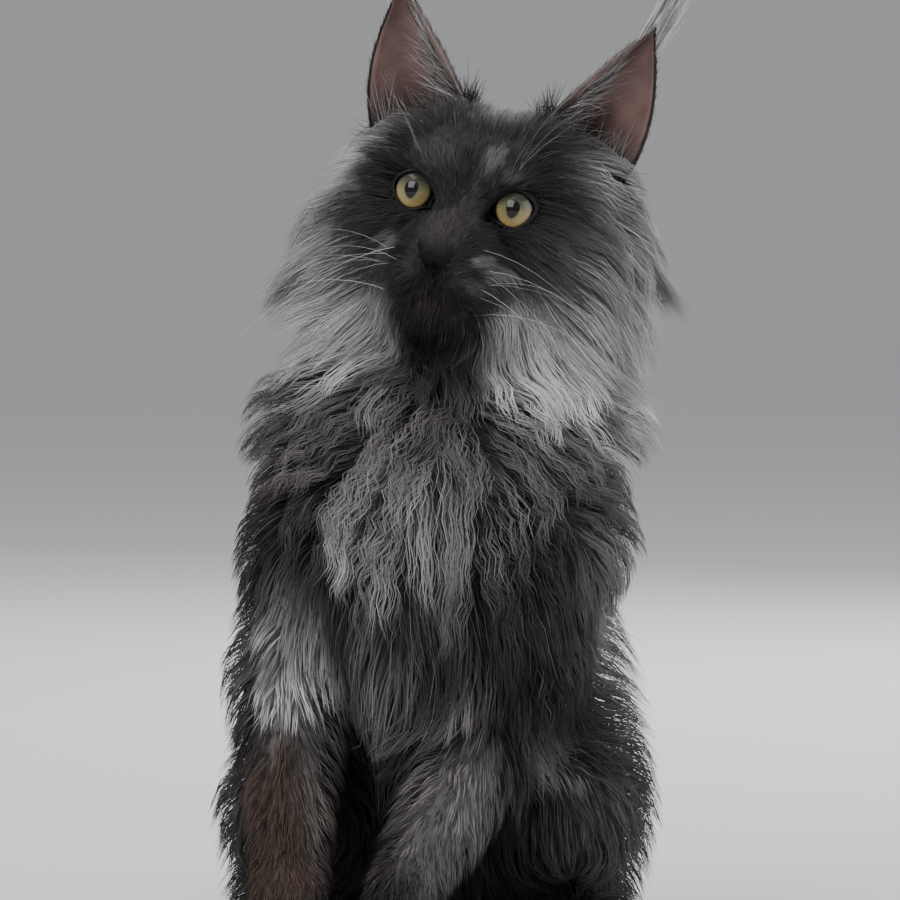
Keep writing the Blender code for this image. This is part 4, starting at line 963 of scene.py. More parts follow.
class Guides:
    """Guide hairs, and which of them is nearest to a root."""

    def __init__(self, corners, uv, draw):
        depth = in_chunks(coat_depth, corners.mean(1))
        roots, _ = sampled(corners, uv, 1 / (1.2 + 0.12 * depth) ** 2, 42000, draw)
        depth = in_chunks(coat_depth, roots)
        apart = GUIDE_SPACING + GUIDE_SPACING_BY_DEPTH * depth
        keep = spaced(roots, apart, float(apart.max()))
        roots = roots[keep]
        normals = unit(slope_in_chunks(flesh, roots))
        self.roots = roots
        self.paths, self.outward, self.depth, self.length = guide_paths(roots, normals, draw)
        self.lock(draw)
        self.tree = KDTree(len(roots))
        for i, root in enumerate(roots):
            self.tree.insert(root, i)
        self.tree.balance()

    def lock(self, draw):
        """Draws neighbouring guides together into locks towards their tips, and waves each lock as one."""
        apart = 7.0 + 0.22 * self.depth
        heads = spaced(self.roots, apart, float(apart.max()))
        tree = KDTree(len(heads))
        for i in heads:
            tree.insert(self.roots[i], int(i))
        tree.balance()
        near = np.array([tree.find(Vector(r))[1] for r in self.roots])
        share = np.linspace(0, 1, GUIDE_STEPS + 1)
        long = np.clip((self.depth - 8) / 14, 0, 1)
        pull = (0.55 * long)[:, None] * share[None] ** 1.3
        self.paths += (self.paths[near] - self.paths) * pull[:, :, None]
        phase = draw.uniform(0, 2 * math.pi, len(self.roots))[near] + draw.normal(0, 0.35, len(self.roots))
        wavy = in_collar(self.roots)
        wave = draw.uniform(24, 31, len(self.roots))[near] * (1 - 0.42 * wavy)
        size = draw.uniform(0.6, 1.2, len(self.roots))[near] * long * (1.1 + 1.0 * wavy)
        self.tone = np.exp(draw.normal(0, LOCK_CONTRAST, len(self.roots))[near])
        along = np.linspace(0, 1, GUIDE_STEPS + 1)[None] * self.length[:, None]
        angle = 2 * math.pi * along / wave[:, None] + phase[:, None]
        ahead = unit(np.gradient(self.paths, axis=1))
        across = unit(np.cross(ahead, self.outward))
        amount = (size[:, None] * np.minimum(1, along / 14))[:, :, None]
        self.paths += across * (np.sin(angle)[:, :, None] * amount)
        self.paths += self.outward * (np.cos(angle)[:, :, None] * amount * 0.6)

    def near(self, points, count):
        """Numbers and weights of the nearest guides."""
        found = [self.tree.find_n(Vector(p), count) for p in points]
        number = np.array([[f[1] for f in row] for row in found])
        apart = np.array([[f[2] for f in row] for row in found])
        weight = 1 / (apart + 0.4) ** 2
        return number, weight / weight.sum(1, keepdims=True)


def strands(guides, roots, shares, draw, clump, wild):
    """Paths of tufts: each follows the guides round it and leans towards the nearest one's tip."""
    number, weight = guides.near(roots, 3)
    rings, share = len(shares), shares
    moves = guides.paths - guides.paths[:, :1]
    outward = bent(guides.outward, share * GUIDE_STEPS)
    path = np.zeros((len(roots), GUIDE_STEPS + 1, 3))
    out = np.zeros((len(roots), rings, 3))
    for k in range(number.shape[1]):
        path += moves[number[:, k]] * weight[:, k, None, None]
        out += outward[number[:, k]] * weight[:, k, None, None]
    path += roots[:, None]
    pull = clump * np.linspace(0, 1, GUIDE_STEPS + 1) ** 0.8
    path += (guides.paths[number[:, 0]] - path) * pull[None, :, None]
    out = unit(out)
    short = np.where(draw.random(len(roots)) < 0.3, *draw.uniform([[0.45], [0.8]], [[0.8], [1.05]], (2, len(roots))))
    path = read_at(path, np.clip(share[None] * short[:, None], 0, 1) * GUIDE_STEPS)
    ahead = unit(np.gradient(path, axis=1))
    side = unit(np.cross(ahead, out))
    sway = draw.normal(0, 1, (len(roots), 2))
    size = wild * guides.length[number[:, 0]]
    path += side * (sway[:, 0] * size)[:, None, None] * share[None, :, None] ** 1.5
    path += out * (np.abs(sway[:, 1]) * size * 0.6)[:, None, None] * share[None, :, None] ** 1.5
    path[:, :, 2] = np.maximum(path[:, :, 2], 0.9)
    return path, out, guides.tone[number[:, 0]]


def read_at(paths, places):
    """Paths read at places of their own, given as counts of steps from the root."""
    low = np.minimum(places.astype(int), paths.shape[1] - 2)
    part = (places - low)[:, :, None]
    rows = np.arange(len(paths))[:, None]
    return paths[rows, low] * (1 - part) + paths[rows, low + 1] * part


def shades(paths, shares, tone, draw, contrast):
    """Colour along each tuft: a root darkened as painted shade deep in the coat, the marking's colour at the tip, and
    hairs that differ.
    """
    count = len(paths)
    mark = markings(paths[:, np.searchsorted(shares, 0.55)])
    lift = np.exp(draw.normal(0, contrast, (count, 1))) * tone[:, None]
    stray = draw.random((count, 1)) < STRAY_SHARE
    mark = np.where(stray, mark * 0.6 + np.array(GREY) * 0.4, mark * lift)
    # Painted shade: the colour falls to 0.62 of the tip's towards the root, where the coat shades itself.
    return mark[:, None] * (0.62 + 0.38 * np.minimum(1, shares * 1.8))[None, :, None]


# Regions of the coat: tufts, rings, share of the hair where they start, width, pull into locks, sway.
REGIONS = {
    "face": (24000, 3, 0.0, 0.25, 0.20, 0.025),
    "cheeks": (10600, 4, 0.1, 0.34, 0.40, 0.030),
    "collar": (5000, 9, 0.3, 0.78, 0.62, 0.035),
    "ruff": (11000, 5, 0.15, 0.50, 0.42, 0.040),
    "legs": (14500, 3, 0.0, 0.55, 0.40, 0.030),
    "body": (18000, 4, 0.15, 0.78, 0.45, 0.025),
    "tail": (4200, 4, 0.0, 0.75, 0.45, 0.040),
}
CONTRAST = 0.18
MOST_TRIANGLES = 195000


def region_weights(middle):
    """How dense each region's tufts stand on the skin's triangles."""
    depth = in_chunks(coat_depth, middle)
    local = head_local(middle)
    head = (middle[:, 2] > 250) & (middle[:, 1] < 25)
    face = head & (depth < 5)
    cheeks = head & ~face & (depth < 24)
    ruff = (middle[:, 2] > 190) & (depth >= 13) & (middle[:, 1] < 30) & ~cheeks
    collar = ruff & (in_collar(middle) > 0.25)
    tail = on_tail(middle)
    legs = (depth < 11) & ~head & ~tail
    body = ~(face | cheeks | ruff | legs | tail)
    front = 1 + 0.6 * np.clip((30 - middle[:, 1]) / 60, -0.5, 1)
    low = np.clip(middle[:, 2] / 6, 0.15, 1)
    weights = {
        "face": face / (1 + 0.25 * depth),
        "cheeks": cheeks * 1.0,
        "collar": collar * 1.0,
        "ruff": (ruff & ~collar) * (1 + 2.0 * in_mane(middle)),
        "legs": legs * low * front / (2 + depth),
        "body": body * low * front / (14 + depth),
        "tail": tail * low,
    }
    bare = on_ears(middle) | (on_nose(local) > 0.5) | near_lids(middle) | on_lips(local)
    return {name: np.where(bare, 0, weight) + 1e-12 for name, weight in weights.items()}


def coat_pieces(skin_mesh, fur):
    """The whole coat as joined meshes: each region's tufts in pieces of limited size, and the wisps."""
    draw = np.random.default_rng(SEED)
    corners, uv = mesh_arrays(skin_mesh)
    weights = region_weights(corners.mean(1))
    guides = Guides(corners, uv, np.random.default_rng(SEED + 1))
    made = []
    for name, (count, rings, start, width, clump, sway) in REGIONS.items():
        roots, places = sampled(corners, uv, weights[name], count, draw)
        order = np.argsort(-roots[:, 2], kind="stable")
        roots, places = roots[order], places[order]
        shares = np.array([0.0, *np.linspace(start, 1, rings - 1)]) if start else np.linspace(0, 1, rings)
        path, out, tone = strands(guides, roots, shares, draw, clump, sway)
        clear = clear_of_eyes(path) & clear_of_lips(path)
        path, out, places, tone = path[clear], out[clear], places[clear], tone[clear]
        taper = (0.75 + 0.5 * np.sin(shares * 2.2)) * (1 - shares) ** 0.6 + 0.06
        widths = width * draw.uniform(0.7, 1.25, len(path))[:, None] * taper[None]
        colours = shades(path, shares, tone, draw, CONTRAST)
        most = MOST_TRIANGLES // (6 * (rings - 2) + 4)
        for part, first in enumerate(range(0, len(path), most)):
            rows = slice(first, first + most)
            piece = tuft_mesh(f"coat_{name}_{part + 1}", path[rows], out[rows], widths[rows], colours[rows], places[rows])
            piece.data.materials.append(fur)
            made.append(piece)
    made.append(wisp_piece(skin_mesh, guides, fur))
    return made


def on_ears(points):
    """Places on the ears, outside the head's long coat."""
    found = np.zeros(len(points), bool)
    for side in (-1, 1):
        at, normal = ear_plane(side)
        found |= (points - np.array(at)) @ np.array(normal) > -1
    return found


def gate(value, width):
    """From 0 below zero to 1 above it, over this width."""
    return 1 / (1 + np.exp(np.clip(-value / width, -30, 30)))


def on_nose(local):
    """1 on the bare leather of the nose, which is wide above and narrow where it runs down to the lip."""
    wide = NOSE_HALF_WIDTH - 0.62 * np.clip(NOSE_WIDE_TO - local[:, 2], 0, 12)
    found = gate(wide - np.abs(local[:, 0]), 0.35) * gate(NOSE_TOP - local[:, 2], 0.45)
    return found * gate(local[:, 2] - NOSE_LOW, 0.4) * (local[:, 1] < -21)


def on_lips(local):
    return to_line(np.abs(local) * [1, 0, 0] + local * [0, 1, 1], LIP_LINE) < LIP_BARE


def clear_of_lips(path):
    """Which tufts keep off the line of the mouth and off the nose."""
    local = head_local(path.reshape(-1, 3))
    over = (to_line(np.abs(local) * [1, 0, 0] + local * [0, 1, 1], LIP_LINE) < LIP_CLEAR) | (on_nose(local) > 0.85)
    return ~over.reshape(path.shape[:2]).any(1)


def clear_of_eyes(path):
    """Which tufts keep off the gaps between the lids."""
    clear = np.ones(len(path), bool)
    for side in (-1, 1):
        eye, reach = lid_reach(path.reshape(-1, 3), side)
        over = (reach < 1.1) & (eye[:, 1] < 0) & (np.linalg.norm(eye, axis=1) < EYE_RADIUS + 12)
        clear &= ~over.reshape(path.shape[:2]).any(1)
    return clear


def near_lids(points):
    found = np.zeros(len(points), bool)
    for side in (-1, 1):
        eye, reach = lid_reach(points, side)
        found |= (reach < 1.12) & (eye[:, 1] < 0) & (np.linalg.norm(eye, axis=1) < EYE_RADIUS + 6)
    return found


def cut_sockets(made):
    """Cuts the gap between the lids and the eyes' sockets out of the skin."""
    for side in (-1, 1):
        matrix = eye_frame(side)
        outline = []
        for i in range(72):
            turn = 2 * math.pi * i / 72
            across, up = math.cos(turn), math.sin(turn)
            inner = max(0.0, -across) ** 3
            x = LID_HALF_WIDTH * across * (1 + LID_CORNER_REACH * inner)
            z = LID_HALF_HEIGHT * up * (1 - LID_NARROWING * across**2) - LID_INNER_DROP * inner + 1.2 * max(0.0, across) ** 2
            outline.append((side * x, z))
        points = [matrix @ Vector((x * 0.5, 0, z * 0.5)) for x, z in outline]
        points += [matrix @ Vector((x * 1.1, -24, z * 1.1)) for x, z in outline]
        n = len(outline)
        faces = [(i, (i + 1) % n, n + (i + 1) % n, n + i) for i in range(n)]
        faces += [tuple(range(n))[::-1], tuple(range(n, 2 * n))]
        opening = outward_facing(mesh_object("opening", points, faces))
        socket = ball("socket", matrix, (0, 0, 0), (EYE_RADIUS + LID_GAP,) * 3, 64)
        for cutter in (opening, socket):
            boolean(made, cutter, "DIFFERENCE")
    return made


def outward_facing(made):
    shape = bmesh.new()
    shape.from_mesh(made.data)
    bmesh.ops.recalc_face_normals(shape, faces=shape.faces[:])
    shape.to_mesh(made.data)
    shape.free()
    return made


def ball(name, frame_, centre, radii, around):
    shape = bmesh.new()
    bmesh.ops.create_uvsphere(shape, u_segments=around, v_segments=around // 2, radius=1)
    bmesh.ops.scale(shape, vec=Vector(radii), verts=shape.verts[:])
    bmesh.ops.transform(shape, matrix=frame_ @ Matrix.Translation(centre), verts=shape.verts[:])
    mesh = bpy.data.meshes.new(name)
    shape.to_mesh(mesh)
    shape.free()
    return new_object(name, mesh)


def boolean(made, other, operation):
    step = made.modifiers.new("step", "BOOLEAN")
    step.operation = operation
    step.solver = "MANIFOLD"
    step.object = other
    graph = bpy.context.evaluated_depsgraph_get()
    mesh = bpy.data.meshes.new_from_object(made.evaluated_get(graph))
    made.modifiers.clear()
    made.data = mesh
    bpy.data.objects.remove(other)


# Sizes of the ears' hair: count for each ear, length and width.
EAR_BACK_HAIRS = (1150, 6.5, 0.42)
EAR_EDGE_HAIRS = (520, 6.0, 0.32)
EAR_INNER_HAIRS = (430, 26.0, 0.24)
EAR_TUFT_HAIRS = (520, 31.0, 0.58)
EAR_BASE_HAIRS = (340, 14.0, 0.42)
EAR_BASE_OUTER = 0.62
HAIR_RINGS = 5
# Inside of the ears: the pink skin, and the dark painted shade it fades to down in the hollow at the ear's base.
EAR_PINK = (0.135, 0.085, 0.078)
EAR_PAINTED_SHADE = (0.030, 0.021, 0.021)
TUFT_TO = (13.0, -1.0, 38.0)


def hair(starts, ways, lengths, bows, rings):
    """Paths that leave in one direction and bow towards another."""
    share = np.linspace(0, 1, rings)[None, :, None]
    reach = np.asarray(lengths)[:, None, None]
    return starts[:, None] + unit(ways)[:, None] * share * reach + bows[:, None] * share**2 * reach


def head_points(points):
    return np.array([HEAD @ Vector(p) for p in points])


def head_ways(ways):
    turn = np.array(HEAD.to_3x3())
    return np.asarray(ways, float) @ turn.T


def ear_points(side, across, up, inset):
    return head_points([ear_frame_point(side, a, u, inset) for a, u in zip(across, up)])


def ear_rows(side, draw):
    """Hair of one ear: rows of paths, widths and colours."""
    rows = []
    count, length, width = EAR_BACK_HAIRS
    across, up = draw.uniform(-0.99, 0.99, count), draw.uniform(0.0, 0.95, count) ** 0.9
    start = ear_points(side, across, up, 0.3)
    ahead = ear_points(side, across, np.minimum(up + 0.06, 1.0), 0.3) - start
    off = unit(start - ear_points(side, across * 0.9, up, 3.0))
    bows = off * 0.10 + draw.normal(0, 0.08, (count, 3))
    rows.append((hair(start, unit(ahead) + off * 0.14, length * draw.uniform(0.6, 1.2, count), bows, HAIR_RINGS), off, width, CHARCOAL))
    count, length, width = EAR_EDGE_HAIRS
    edge = np.where(draw.random(count) < 0.5, -1.0, 1.0)
    up = draw.uniform(0.02, 0.96, count)
    start = ear_points(side, edge, up, 1.0)
    ahead = unit(ear_points(side, edge, np.minimum(up + 0.05, 1.0), 1.0) - start)
    off = unit(ear_points(side, edge, up, 0.0) - ear_points(side, edge * 0.8, up, 0.0))
    bows = draw.normal(0, 0.14, (count, 3))
    light = np.where((edge < 0)[:, None], np.array(GREY), np.array(CHARCOAL))
    rows.append((hair(start, ahead + off * 0.30, length * draw.uniform(0.5, 1.1, count), bows, HAIR_RINGS), off, width, light))
    count, length, width = EAR_INNER_HAIRS
    across, up = draw.uniform(-0.98, -0.55, count), draw.uniform(-0.05, 0.62, count)
    low = draw.random(count) < 0.35
    across = np.where(low, draw.uniform(-0.5, 0.9, count), across)
    up = np.where(low, draw.uniform(-0.05, 0.1, count), up)
    start = ear_points(side, across, up, EAR_WALL)
    outer = ear_points(side, np.ones(count), np.minimum(up + 0.3, 0.95), EAR_WALL)
    ways = unit(outer - start) + head_ways(draw.normal([0, -0.35, 0.3], 0.22, (count, 3)))
    bows = head_ways(draw.normal([0, 0.05, 0.12], 0.12, (count, 3)))
    reach = length * draw.uniform(0.45, 1.1, count) * (1 - 0.55 * np.clip(up, 0, 1))
    pick = draw.random(count)[:, None]
    tint = np.where(pick < 0.3, np.array(SILVER) * 0.7, np.where(pick < 0.7, np.array(GREY), np.array(DUSK)))
    rows.append((hair(start, ways, reach, bows, HAIR_RINGS), unit(head_ways(np.tile([0, -1, 0.2], (count, 1)))), width, tint))
    count, length, width = EAR_TUFT_HAIRS
    up = draw.uniform(0.80, 0.985, count)
    place = draw.uniform(-1, 1, count)
    start = ear_points(side, place, up, EAR_WALL / 2)
    lean = np.array([side, 1, 1]) * np.array(TUFT_TO)
    ways = head_ways(unit(np.tile(lean, (count, 1))) + draw.normal(0, 0.05, (count, 3)))
    bows = head_ways(draw.normal([side * 0.05, -0.02, 0.04], 0.05, (count, 3)))
    middle = (np.abs(place) < 0.22)[:, None]
    tint = np.where(middle, np.array(SMOKE), np.array(SILVER) * draw.uniform(0.7, 1.3, (count, 1)))
    rows.append((hair(start, ways, length * draw.uniform(0.4, 1.08, count), bows, HAIR_RINGS), ways, width, tint))
    count, length, width = EAR_BASE_HAIRS
    outer = draw.random(count) < EAR_BASE_OUTER
    across = np.where(outer, draw.uniform(0.55, 1.0, count), draw.uniform(-1.0, -0.8, count))
    start = ear_points(side, across, np.where(outer, draw.uniform(-0.2, 0.1, count), draw.uniform(-0.06, 0.12, count)), 0.5)
    way = np.where(outer[:, None], [side * 0.5, -0.35, -0.35], [-side * 0.25, -0.5, 0.8])
    ways = head_ways(way + draw.normal(0, 0.28, (count, 3)))
    bows = head_ways(draw.normal([side * 0.1, 0, 0.1], 0.15, (count, 3)))
    rows.append((hair(start, ways, length * draw.uniform(0.5, 1.1, count), bows, HAIR_RINGS), ways, width, CHARCOAL))
    return rows


def loose_hair(skin_mesh):
    """Ears, whiskers and the brow's long hairs, as rows of paths, sides, width and colour."""
    draw = np.random.default_rng(SEED + 2)
    rows = []
    for side in (-1, 1):
        rows += ear_rows(side, draw)
        rows += whisker_rows(side, draw)
    return rows


WHISKERS = 8
WHISKER_LENGTH = 82.0


def whisker_rows(side, draw):
    count = WHISKERS
    start = np.stack([side * draw.uniform(10, 22, count), draw.uniform(-19, -8, count), draw.uniform(-38, -28, count)], 1)
    start = settle(skin, head_points(start), 4)
    fan = np.linspace(-0.35, 0.45, count)
    ways = head_ways(np.stack([side * np.ones(count), -0.25 + 0.25 * draw.random(count), fan], 1))
    bows = head_ways(np.stack([side * np.zeros(count), 0.22 * np.ones(count), -0.42 - 0.15 * draw.random(count)], 1))
    whiskers = hair(start, ways, WHISKER_LENGTH * draw.uniform(0.55, 1.0, count), bows, 8)
    brow = head_points(np.stack([side * draw.uniform(17, 25, 4), np.full(4, 0.0), draw.uniform(13, 17, 4)], 1))
    brow = settle(skin, brow, 4)
    ways = head_ways(draw.normal([side * 0.45, -0.35, 0.9], 0.2, (4, 3)))
    bows = head_ways(np.tile([side * 0.25, 0.25, 0.0], (4, 1)))
    brows = hair(brow, ways, 42 * draw.uniform(0.7, 1.0, 4), bows, 8)
    return [(whiskers, ways_of(whiskers), 0.22, SILVER), (brows, ways_of(brows), 0.20, GREY)]


def ways_of(paths):
    return np.tile([0.1, -0.2, 1.0], (len(paths), 1))


def loose_pieces(skin_mesh, fur):
    """The loose hair as joined meshes: ears, and whiskers."""
    draw = np.random.default_rng(SEED + 3)
    corners, uv = mesh_arrays(skin_mesh)
    tree = KDTree(len(corners))
    for i, at in enumerate(corners.mean(1)):
        tree.insert(Vector(at), i)
    tree.balance()
    groups = {}
    for paths, out, width, colour in loose_hair(skin_mesh):
        groups.setdefault(paths.shape[1], []).append((paths, out, width, colour))
    made = []
    for rings, rows in groups.items():
        paths = np.concatenate([r[0] for r in rows])
        out = np.concatenate([np.repeat(unit(r[1])[:, None], rings, 1) for r in rows])
        size = np.concatenate([np.full(len(r[0]), r[2]) for r in rows])
        tint = np.concatenate([np.broadcast_to(np.array(r[3]), (len(r[0]), 3)) for r in rows])
        tint = tint * np.exp(draw.normal(0, 0.22, (len(tint), 1)))
        taper = np.linspace(1, 0.12, rings) ** 0.8
        widths = (size * draw.uniform(0.75, 1.2, len(size)))[:, None] * taper[None]
        places = np.array([uv[tree.find(Vector(p[0]))[1]].mean(0) for p in paths])
        colours = np.repeat(tint[:, None], rings, 1)
        name = "coat_ears" if rings == HAIR_RINGS else "coat_whiskers"
        piece = tuft_mesh(name, paths, out, widths, colours, places)
        piece.data.materials.append(fur)
        made.append(piece)
    return made


WISPS = 1300
WISP_STRETCH = 1.02
WISP_RINGS = 6


def wisp_piece(skin_mesh, guides, fur):
    """Long fine pale hairs that stand out of the ruff and the coat's edge."""
    draw = np.random.default_rng(SEED + 4)
    corners, uv = mesh_arrays(skin_mesh)
    middle = corners.mean(1)
    depth = in_chunks(coat_depth, middle)
    weight = np.clip((depth - 16) / 20, 0, 1) ** 1.5 * (middle[:, 2] > 60)
    weight = np.where(on_ears(middle), 0, weight * (1 + 3 * in_mane(middle))) + 1e-12
    roots, places = sampled(corners, uv, weight, WISPS, draw)
    path, out, _ = strands(guides, roots, np.linspace(0, 1, WISP_RINGS), draw, 0.15, 0.10)
    path = path[:, :1] + (path - path[:, :1]) * (WISP_STRETCH * draw.uniform(0.85, 1.05, WISPS))[:, None, None]
    path[:, :, 2] = np.maximum(path[:, :, 2], 0.9)
    mark = markings(path[:, 4])
    tint = mark * 0.8 + np.array(SILVER) * 0.35
    colours = np.repeat(tint[:, None], WISP_RINGS, 1)
    widths = 0.42 * draw.uniform(0.7, 1.2, WISPS)[:, None] * np.linspace(1, 0.12, WISP_RINGS)[None] ** 0.7
    piece = tuft_mesh("coat_wisps", path, out, widths, colours, places)
    piece.data.materials.append(fur)
    return piece


# Eyes.
IRIS_RADIUS = 7.7
PUPIL_HALF = (2.9, 3.9)
IRIS_LOW = (0.37, 0.28, 0.11)
IRIS_MIDDLE = (0.110, 0.113, 0.063)
# Painted shadow of the upper lid over the top of the iris.
IRIS_LID_SHADOW = (0.030, 0.030, 0.024)
EYE_DARK = (0.006, 0.005, 0.005)
CORNEA_RISE = 0.7
GAZE_TURN = math.radians(1.5)


def eye_colours(local):
    """Iris with a dark rim and fine rays, paler low down and darkened at the top by a painted shadow of the upper
    lid, round a pupil that is wide above and narrow below.
    """
    x, z = local[:, 0], local[:, 2]
    away = np.hypot(x, z)
    turn = np.arctan2(z, x)
    share = np.clip(away / IRIS_RADIUS, 0, 1.4)
    rays = 1 + 0.13 * np.sin(turn * 37 + 3 * np.sin(turn * 5)) + 0.08 * np.sin(turn * 83 + 2 * np.sin(turn * 11))
    low = np.clip(0.35 - 0.75 * z / IRIS_RADIUS, 0, 1)[:, None] * np.clip(share[:, None] * 1.5 - 0.25, 0, 1)
    tone = np.array(IRIS_MIDDLE) * (1 - low) + np.array(IRIS_LOW) * low
    tone = tone * rays[:, None]
    # Painted shadow of the upper lid: the upper part of the iris darkens towards the top.
    up = np.clip((z / IRIS_RADIUS + 0.05) / 0.70, 0, 1)[:, None]
    tone = tone * (1 - up) + np.array(IRIS_LID_SHADOW) * up
    rim = 1 / (1 + np.exp(-(share - 0.94) / 0.022))[:, None]
    tone = tone * (1 - rim) + np.array(EYE_DARK) * rim
    half = PUPIL_HALF[0] * (1 + 0.22 * np.clip(z / PUPIL_HALF[1], -1, 1))
    inside = np.hypot(x / half, z / PUPIL_HALF[1])
    pupil = 1 / (1 + np.exp((inside - 1) / 0.035))[:, None]
    front = local[:, 1] < 0
    tone = tone * (1 - pupil) + np.array([0.002, 0.002, 0.002]) * pupil
    return np.where(front[:, None], tone, np.array(EYE_DARK))


def build_eye(side, word):
    """An eyeball with a bulging cornea, its poles on the line of sight."""
    around = 160
    angles = np.concatenate([np.linspace(0, math.radians(56), 84), np.linspace(math.radians(60), math.pi, 26)])
    rings = []
    for angle in angles[1:-1]:
        turn = np.linspace(0, 2 * math.pi, around, endpoint=False)
        bulge = CORNEA_RISE * math.exp(-((angle / math.radians(32)) ** 2) * 1.2)
        reach = EYE_RADIUS + bulge - 0.02
        ring = np.stack([np.cos(turn) * math.sin(angle), np.full(around, -math.cos(angle)), np.sin(turn) * math.sin(angle)], 1)
        rings.append(ring * reach)
    front, back = [[0, -(EYE_RADIUS + CORNEA_RISE), 0]], [[0, EYE_RADIUS, 0]]
    local = np.concatenate([front, *rings, back])
    faces, count = [], len(rings)
    for k in range(around):
        faces.append((0, 1 + (k + 1) % around, 1 + k))
        faces.append((len(local) - 1, 1 + (count - 1) * around + k, 1 + (count - 1) * around + (k + 1) % around))
        for ring in range(count - 1):
            a, b = 1 + ring * around + k, 1 + ring * around + (k + 1) % around
            faces.append((a, b, b + around, a + around))
    matrix = np.array(eye_frame(side))
    points = local @ matrix[:3, :3].T + matrix[:3, 3]
    made = outward_facing(mesh_object("eye_ball_" + word, placed(points), faces))
    set_colours(made.data, eye_colours(local))
    made.data.polygons.foreach_set("use_smooth", np.ones(len(made.data.polygons), bool))
    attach(made, "root")
    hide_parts("eye_" + word)
    return made


def lid_rim(side, word, paint):
    """The dark wet rim round the gap between the lids."""
    matrix = eye_frame(side)
    count, sides = 72, 8
    middle = []
    for i in range(count):
        turn = 2 * math.pi * i / count
        across, up = math.cos(turn), math.sin(turn)
        inner = max(0.0, -across) ** 3
        x = LID_HALF_WIDTH * across * (1 + LID_CORNER_REACH * inner)
        z = LID_HALF_HEIGHT * up * (1 - LID_NARROWING * across**2) - LID_INNER_DROP * inner + 1.2 * max(0.0, across) ** 2
        x *= side
        reach = EYE_RADIUS + 0.85
        y = -math.sqrt(max(reach**2 - x * x - z * z, 4.0))
        middle.append((x, y, z))
    middle = np.array(middle)
    ahead = unit(np.roll(middle, -1, 0) - np.roll(middle, 1, 0))
    out = unit(middle)
    across = unit(np.cross(ahead, out))
    points = []
    for k in range(sides):
        turn = 2 * math.pi * k / sides
        points.append(middle + across * math.cos(turn) * 1.0 + out * math.sin(turn) * 0.7)
    points = np.stack(points, 1).reshape(-1, 3)
    faces = [(i * sides + k, ((i + 1) % count) * sides + k, ((i + 1) % count) * sides + (k + 1) % sides, i * sides + (k + 1) % sides)
             for i in range(count) for k in range(sides)]
    m = np.array(matrix)
    made = outward_facing(mesh_object("lid_rim_" + word, placed(points @ m[:3, :3].T + m[:3, 3]), faces))
    made.data.polygons.foreach_set("use_smooth", np.ones(len(made.data.polygons), bool))
    made.data.materials.append(paint)
    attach(made, "root")
    return made


def eye_material():
    made = bpy.data.materials.new("eye")
    made.use_nodes = True
    shader = made.node_tree.nodes["Principled BSDF"]
    colour = made.node_tree.nodes.new("ShaderNodeVertexColor")
    colour.layer_name = "shade"
    made.node_tree.links.new(colour.outputs["Color"], shader.inputs["Base Color"])
    shader.inputs["Roughness"].default_value = 0.6
    shader.inputs["Specular IOR Level"].default_value = 0.05
    shader.inputs["Coat Weight"].default_value = 1.0
    shader.inputs["Coat IOR"].default_value = 1.36
    shader.inputs["Coat Roughness"].default_value = 0.03
    return made


def rim_material():
    made = bpy.data.materials.new("lid_rim")
    made.use_nodes = True
    tree = made.node_tree
    shader = tree.nodes["Principled BSDF"]
    shader.inputs["Roughness"].default_value = 0.5
    shader.inputs["Specular IOR Level"].default_value = 0.15
    place = tree.nodes.new("ShaderNodeTexCoord")
    grain = node(tree, "ShaderNodeTexNoise", Scale=900.0, Detail=3.0)
    tone = tree.nodes.new("ShaderNodeValToRGB")
    tone.color_ramp.elements[0].color = (0.003, 0.0025, 0.0025, 1)
    tone.color_ramp.elements[1].color = (0.010, 0.008, 0.008, 1)
    tree.links.new(place.outputs["Object"], grain.inputs["Vector"])
    tree.links.new(grain.outputs["Fac"], tone.inputs["Fac"])
    tree.links.new(tone.outputs["Color"], shader.inputs["Base Color"])
    return made


# The skin is darker than the coat over it: painted shade in the gaps between the tufts.
SKIN_PAINTED_SHADE = 0.7
EAR_LENGTH = 58.0


def ear_height(points):
    """How far up its ear a point is, as a share of the ear's height."""
    found = np.zeros(len(points))
    for side in (-1, 1):
        at, normal = ear_plane(side)
        found = np.maximum(found, (points - np.array(at)) @ np.array(normal) / EAR_LENGTH)
    return found


